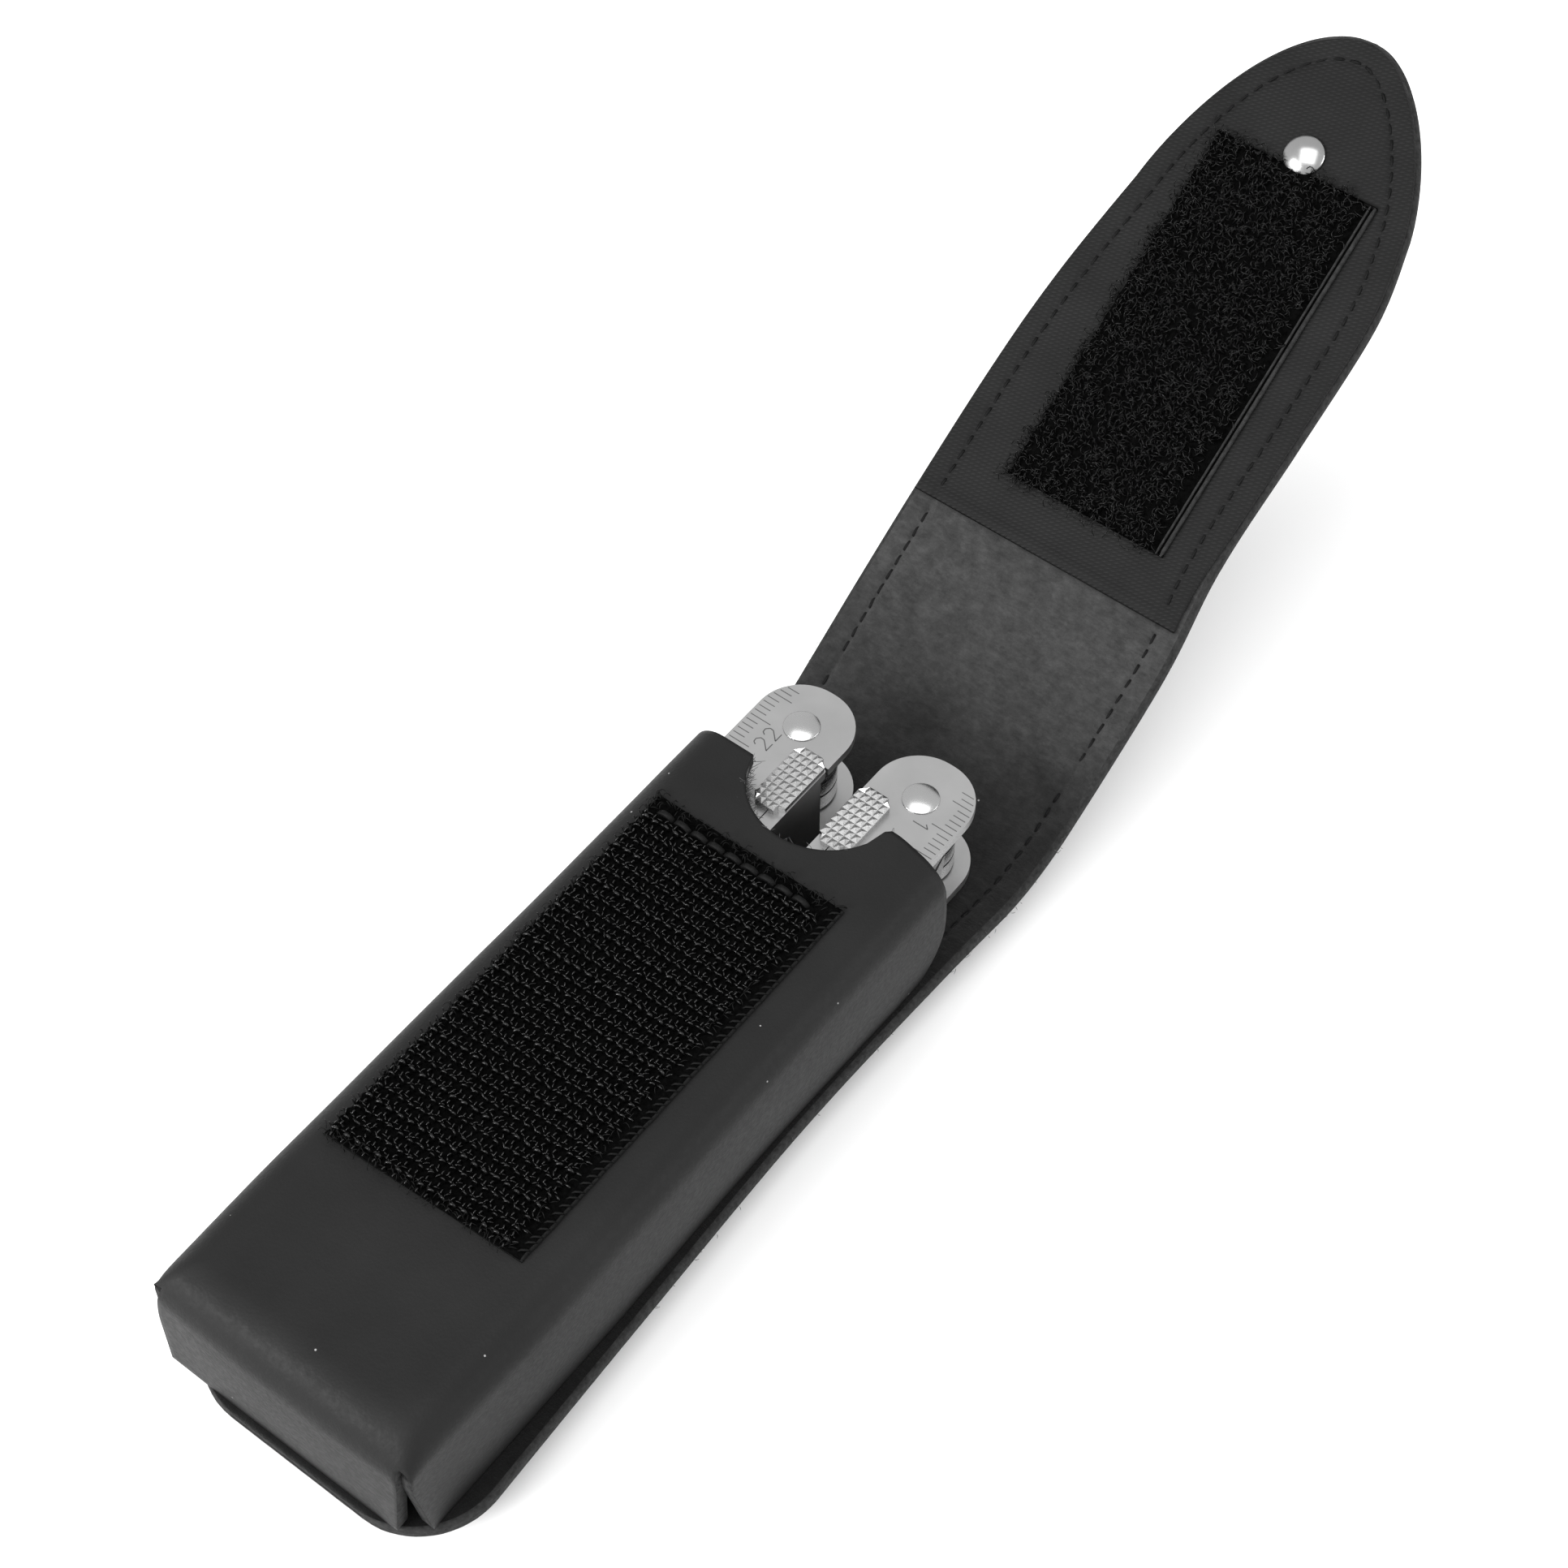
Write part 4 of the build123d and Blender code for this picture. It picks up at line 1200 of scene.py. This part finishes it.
# ---- camera, floor and light
def camera():
    azimuth, elevation, roll = (math.radians(a) for a in (37.1, 53.05, 0.56))
    distance, lens, sensor = 463.6, 71.7522, 36.0
    target = at(-16.25, 123.6, panel_lo.z)
    back = Vector((
        math.sin(azimuth) * math.cos(elevation),
        -math.cos(azimuth) * math.cos(elevation),
        math.sin(elevation),
    ))
    right = Vector((math.cos(azimuth), math.sin(azimuth), 0))
    up = back.cross(right)
    right, up = (
        right * math.cos(roll) + up * math.sin(roll),
        up * math.cos(roll) - right * math.sin(roll),
    )
    data = bpy.data.cameras.new("camera")
    data.sensor_width = sensor
    data.lens = lens
    data.clip_start = 0.01
    cam = bpy.data.objects.new("camera", data)
    cam.matrix_world = Matrix.Translation(target + back * distance * MM) @ Matrix(
        (right, up, back)
    ).transposed().to_4x4()
    bpy.context.scene.collection.objects.link(cam)
    bpy.context.scene.camera = cam


def area_light(name, place, aim, size, power):
    data = bpy.data.lights.new(name, "AREA")
    data.shape = "RECTANGLE"
    data.size, data.size_y = size
    data.energy = power
    lamp = bpy.data.objects.new(name, data)
    lamp.location = place
    lamp.rotation_euler = (Vector(aim) - Vector(place)).to_track_quat("-Z", "Y").to_euler()
    bpy.context.scene.collection.objects.link(lamp)


def studio():
    mat, _, _, bsdf, _ = material("floor")
    bsdf.inputs["Base Color"].default_value = (0.95, 0.95, 0.95, 1)
    bsdf.inputs["Roughness"].default_value = 0.9
    bsdf.inputs["Specular IOR Level"].default_value = 0.1
    size = 6.0
    ground = [(-size, -size, 0), (size, -size, 0), (size, size, 0), (-size, size, 0)]
    floor = obj_from("floor", ground, [(0, 1, 2, 3)], (mat,), smooth=False)
    floor.location.z = -0.0002
    floor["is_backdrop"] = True
    world = bpy.data.worlds.new("studio")
    world.use_nodes = True
    world.node_tree.nodes["Background"].inputs[0].default_value = (1, 1, 1, 1)
    world.node_tree.nodes["Background"].inputs[1].default_value = 0.8
    bpy.context.scene.world = world
    area_light("key", (0.15, -0.30, 1.4), (0, 0.03, 0), (1.4, 1.4), 15.0)
    area_light("front", (-0.43, -1.0, 0.6), (0, -0.05, 0.03), (0.7, 0.35), 17.0)
    area_light("side", (0.95, 0.55, 0.45), (0, 0, 0.03), (0.6, 0.3), 4.0)
    bpy.context.scene.view_settings.view_transform = "Standard"


camera()
studio()
finish_cad()
shell_leather()
back_and_flap()
lining()
flap_stitching()
loop_patch()
hook_patch()
belt_loop()
snap()
for hand in ("left", "right"):
    domed_rivet(f"{hand}_tool_rivet", f"{hand}_handle")
    domed_rivet(f"{hand}_head_rivet", f"{hand}_handle")
    knurled_slide(hand)
ruler("left", -1, 22)
ruler("right", 1, 1)
cut_fibres()


def corners(box):
    return [[float(c) for c in corner] for corner in box]


{"cad": corners(cad_box), "visual": corners(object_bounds())}
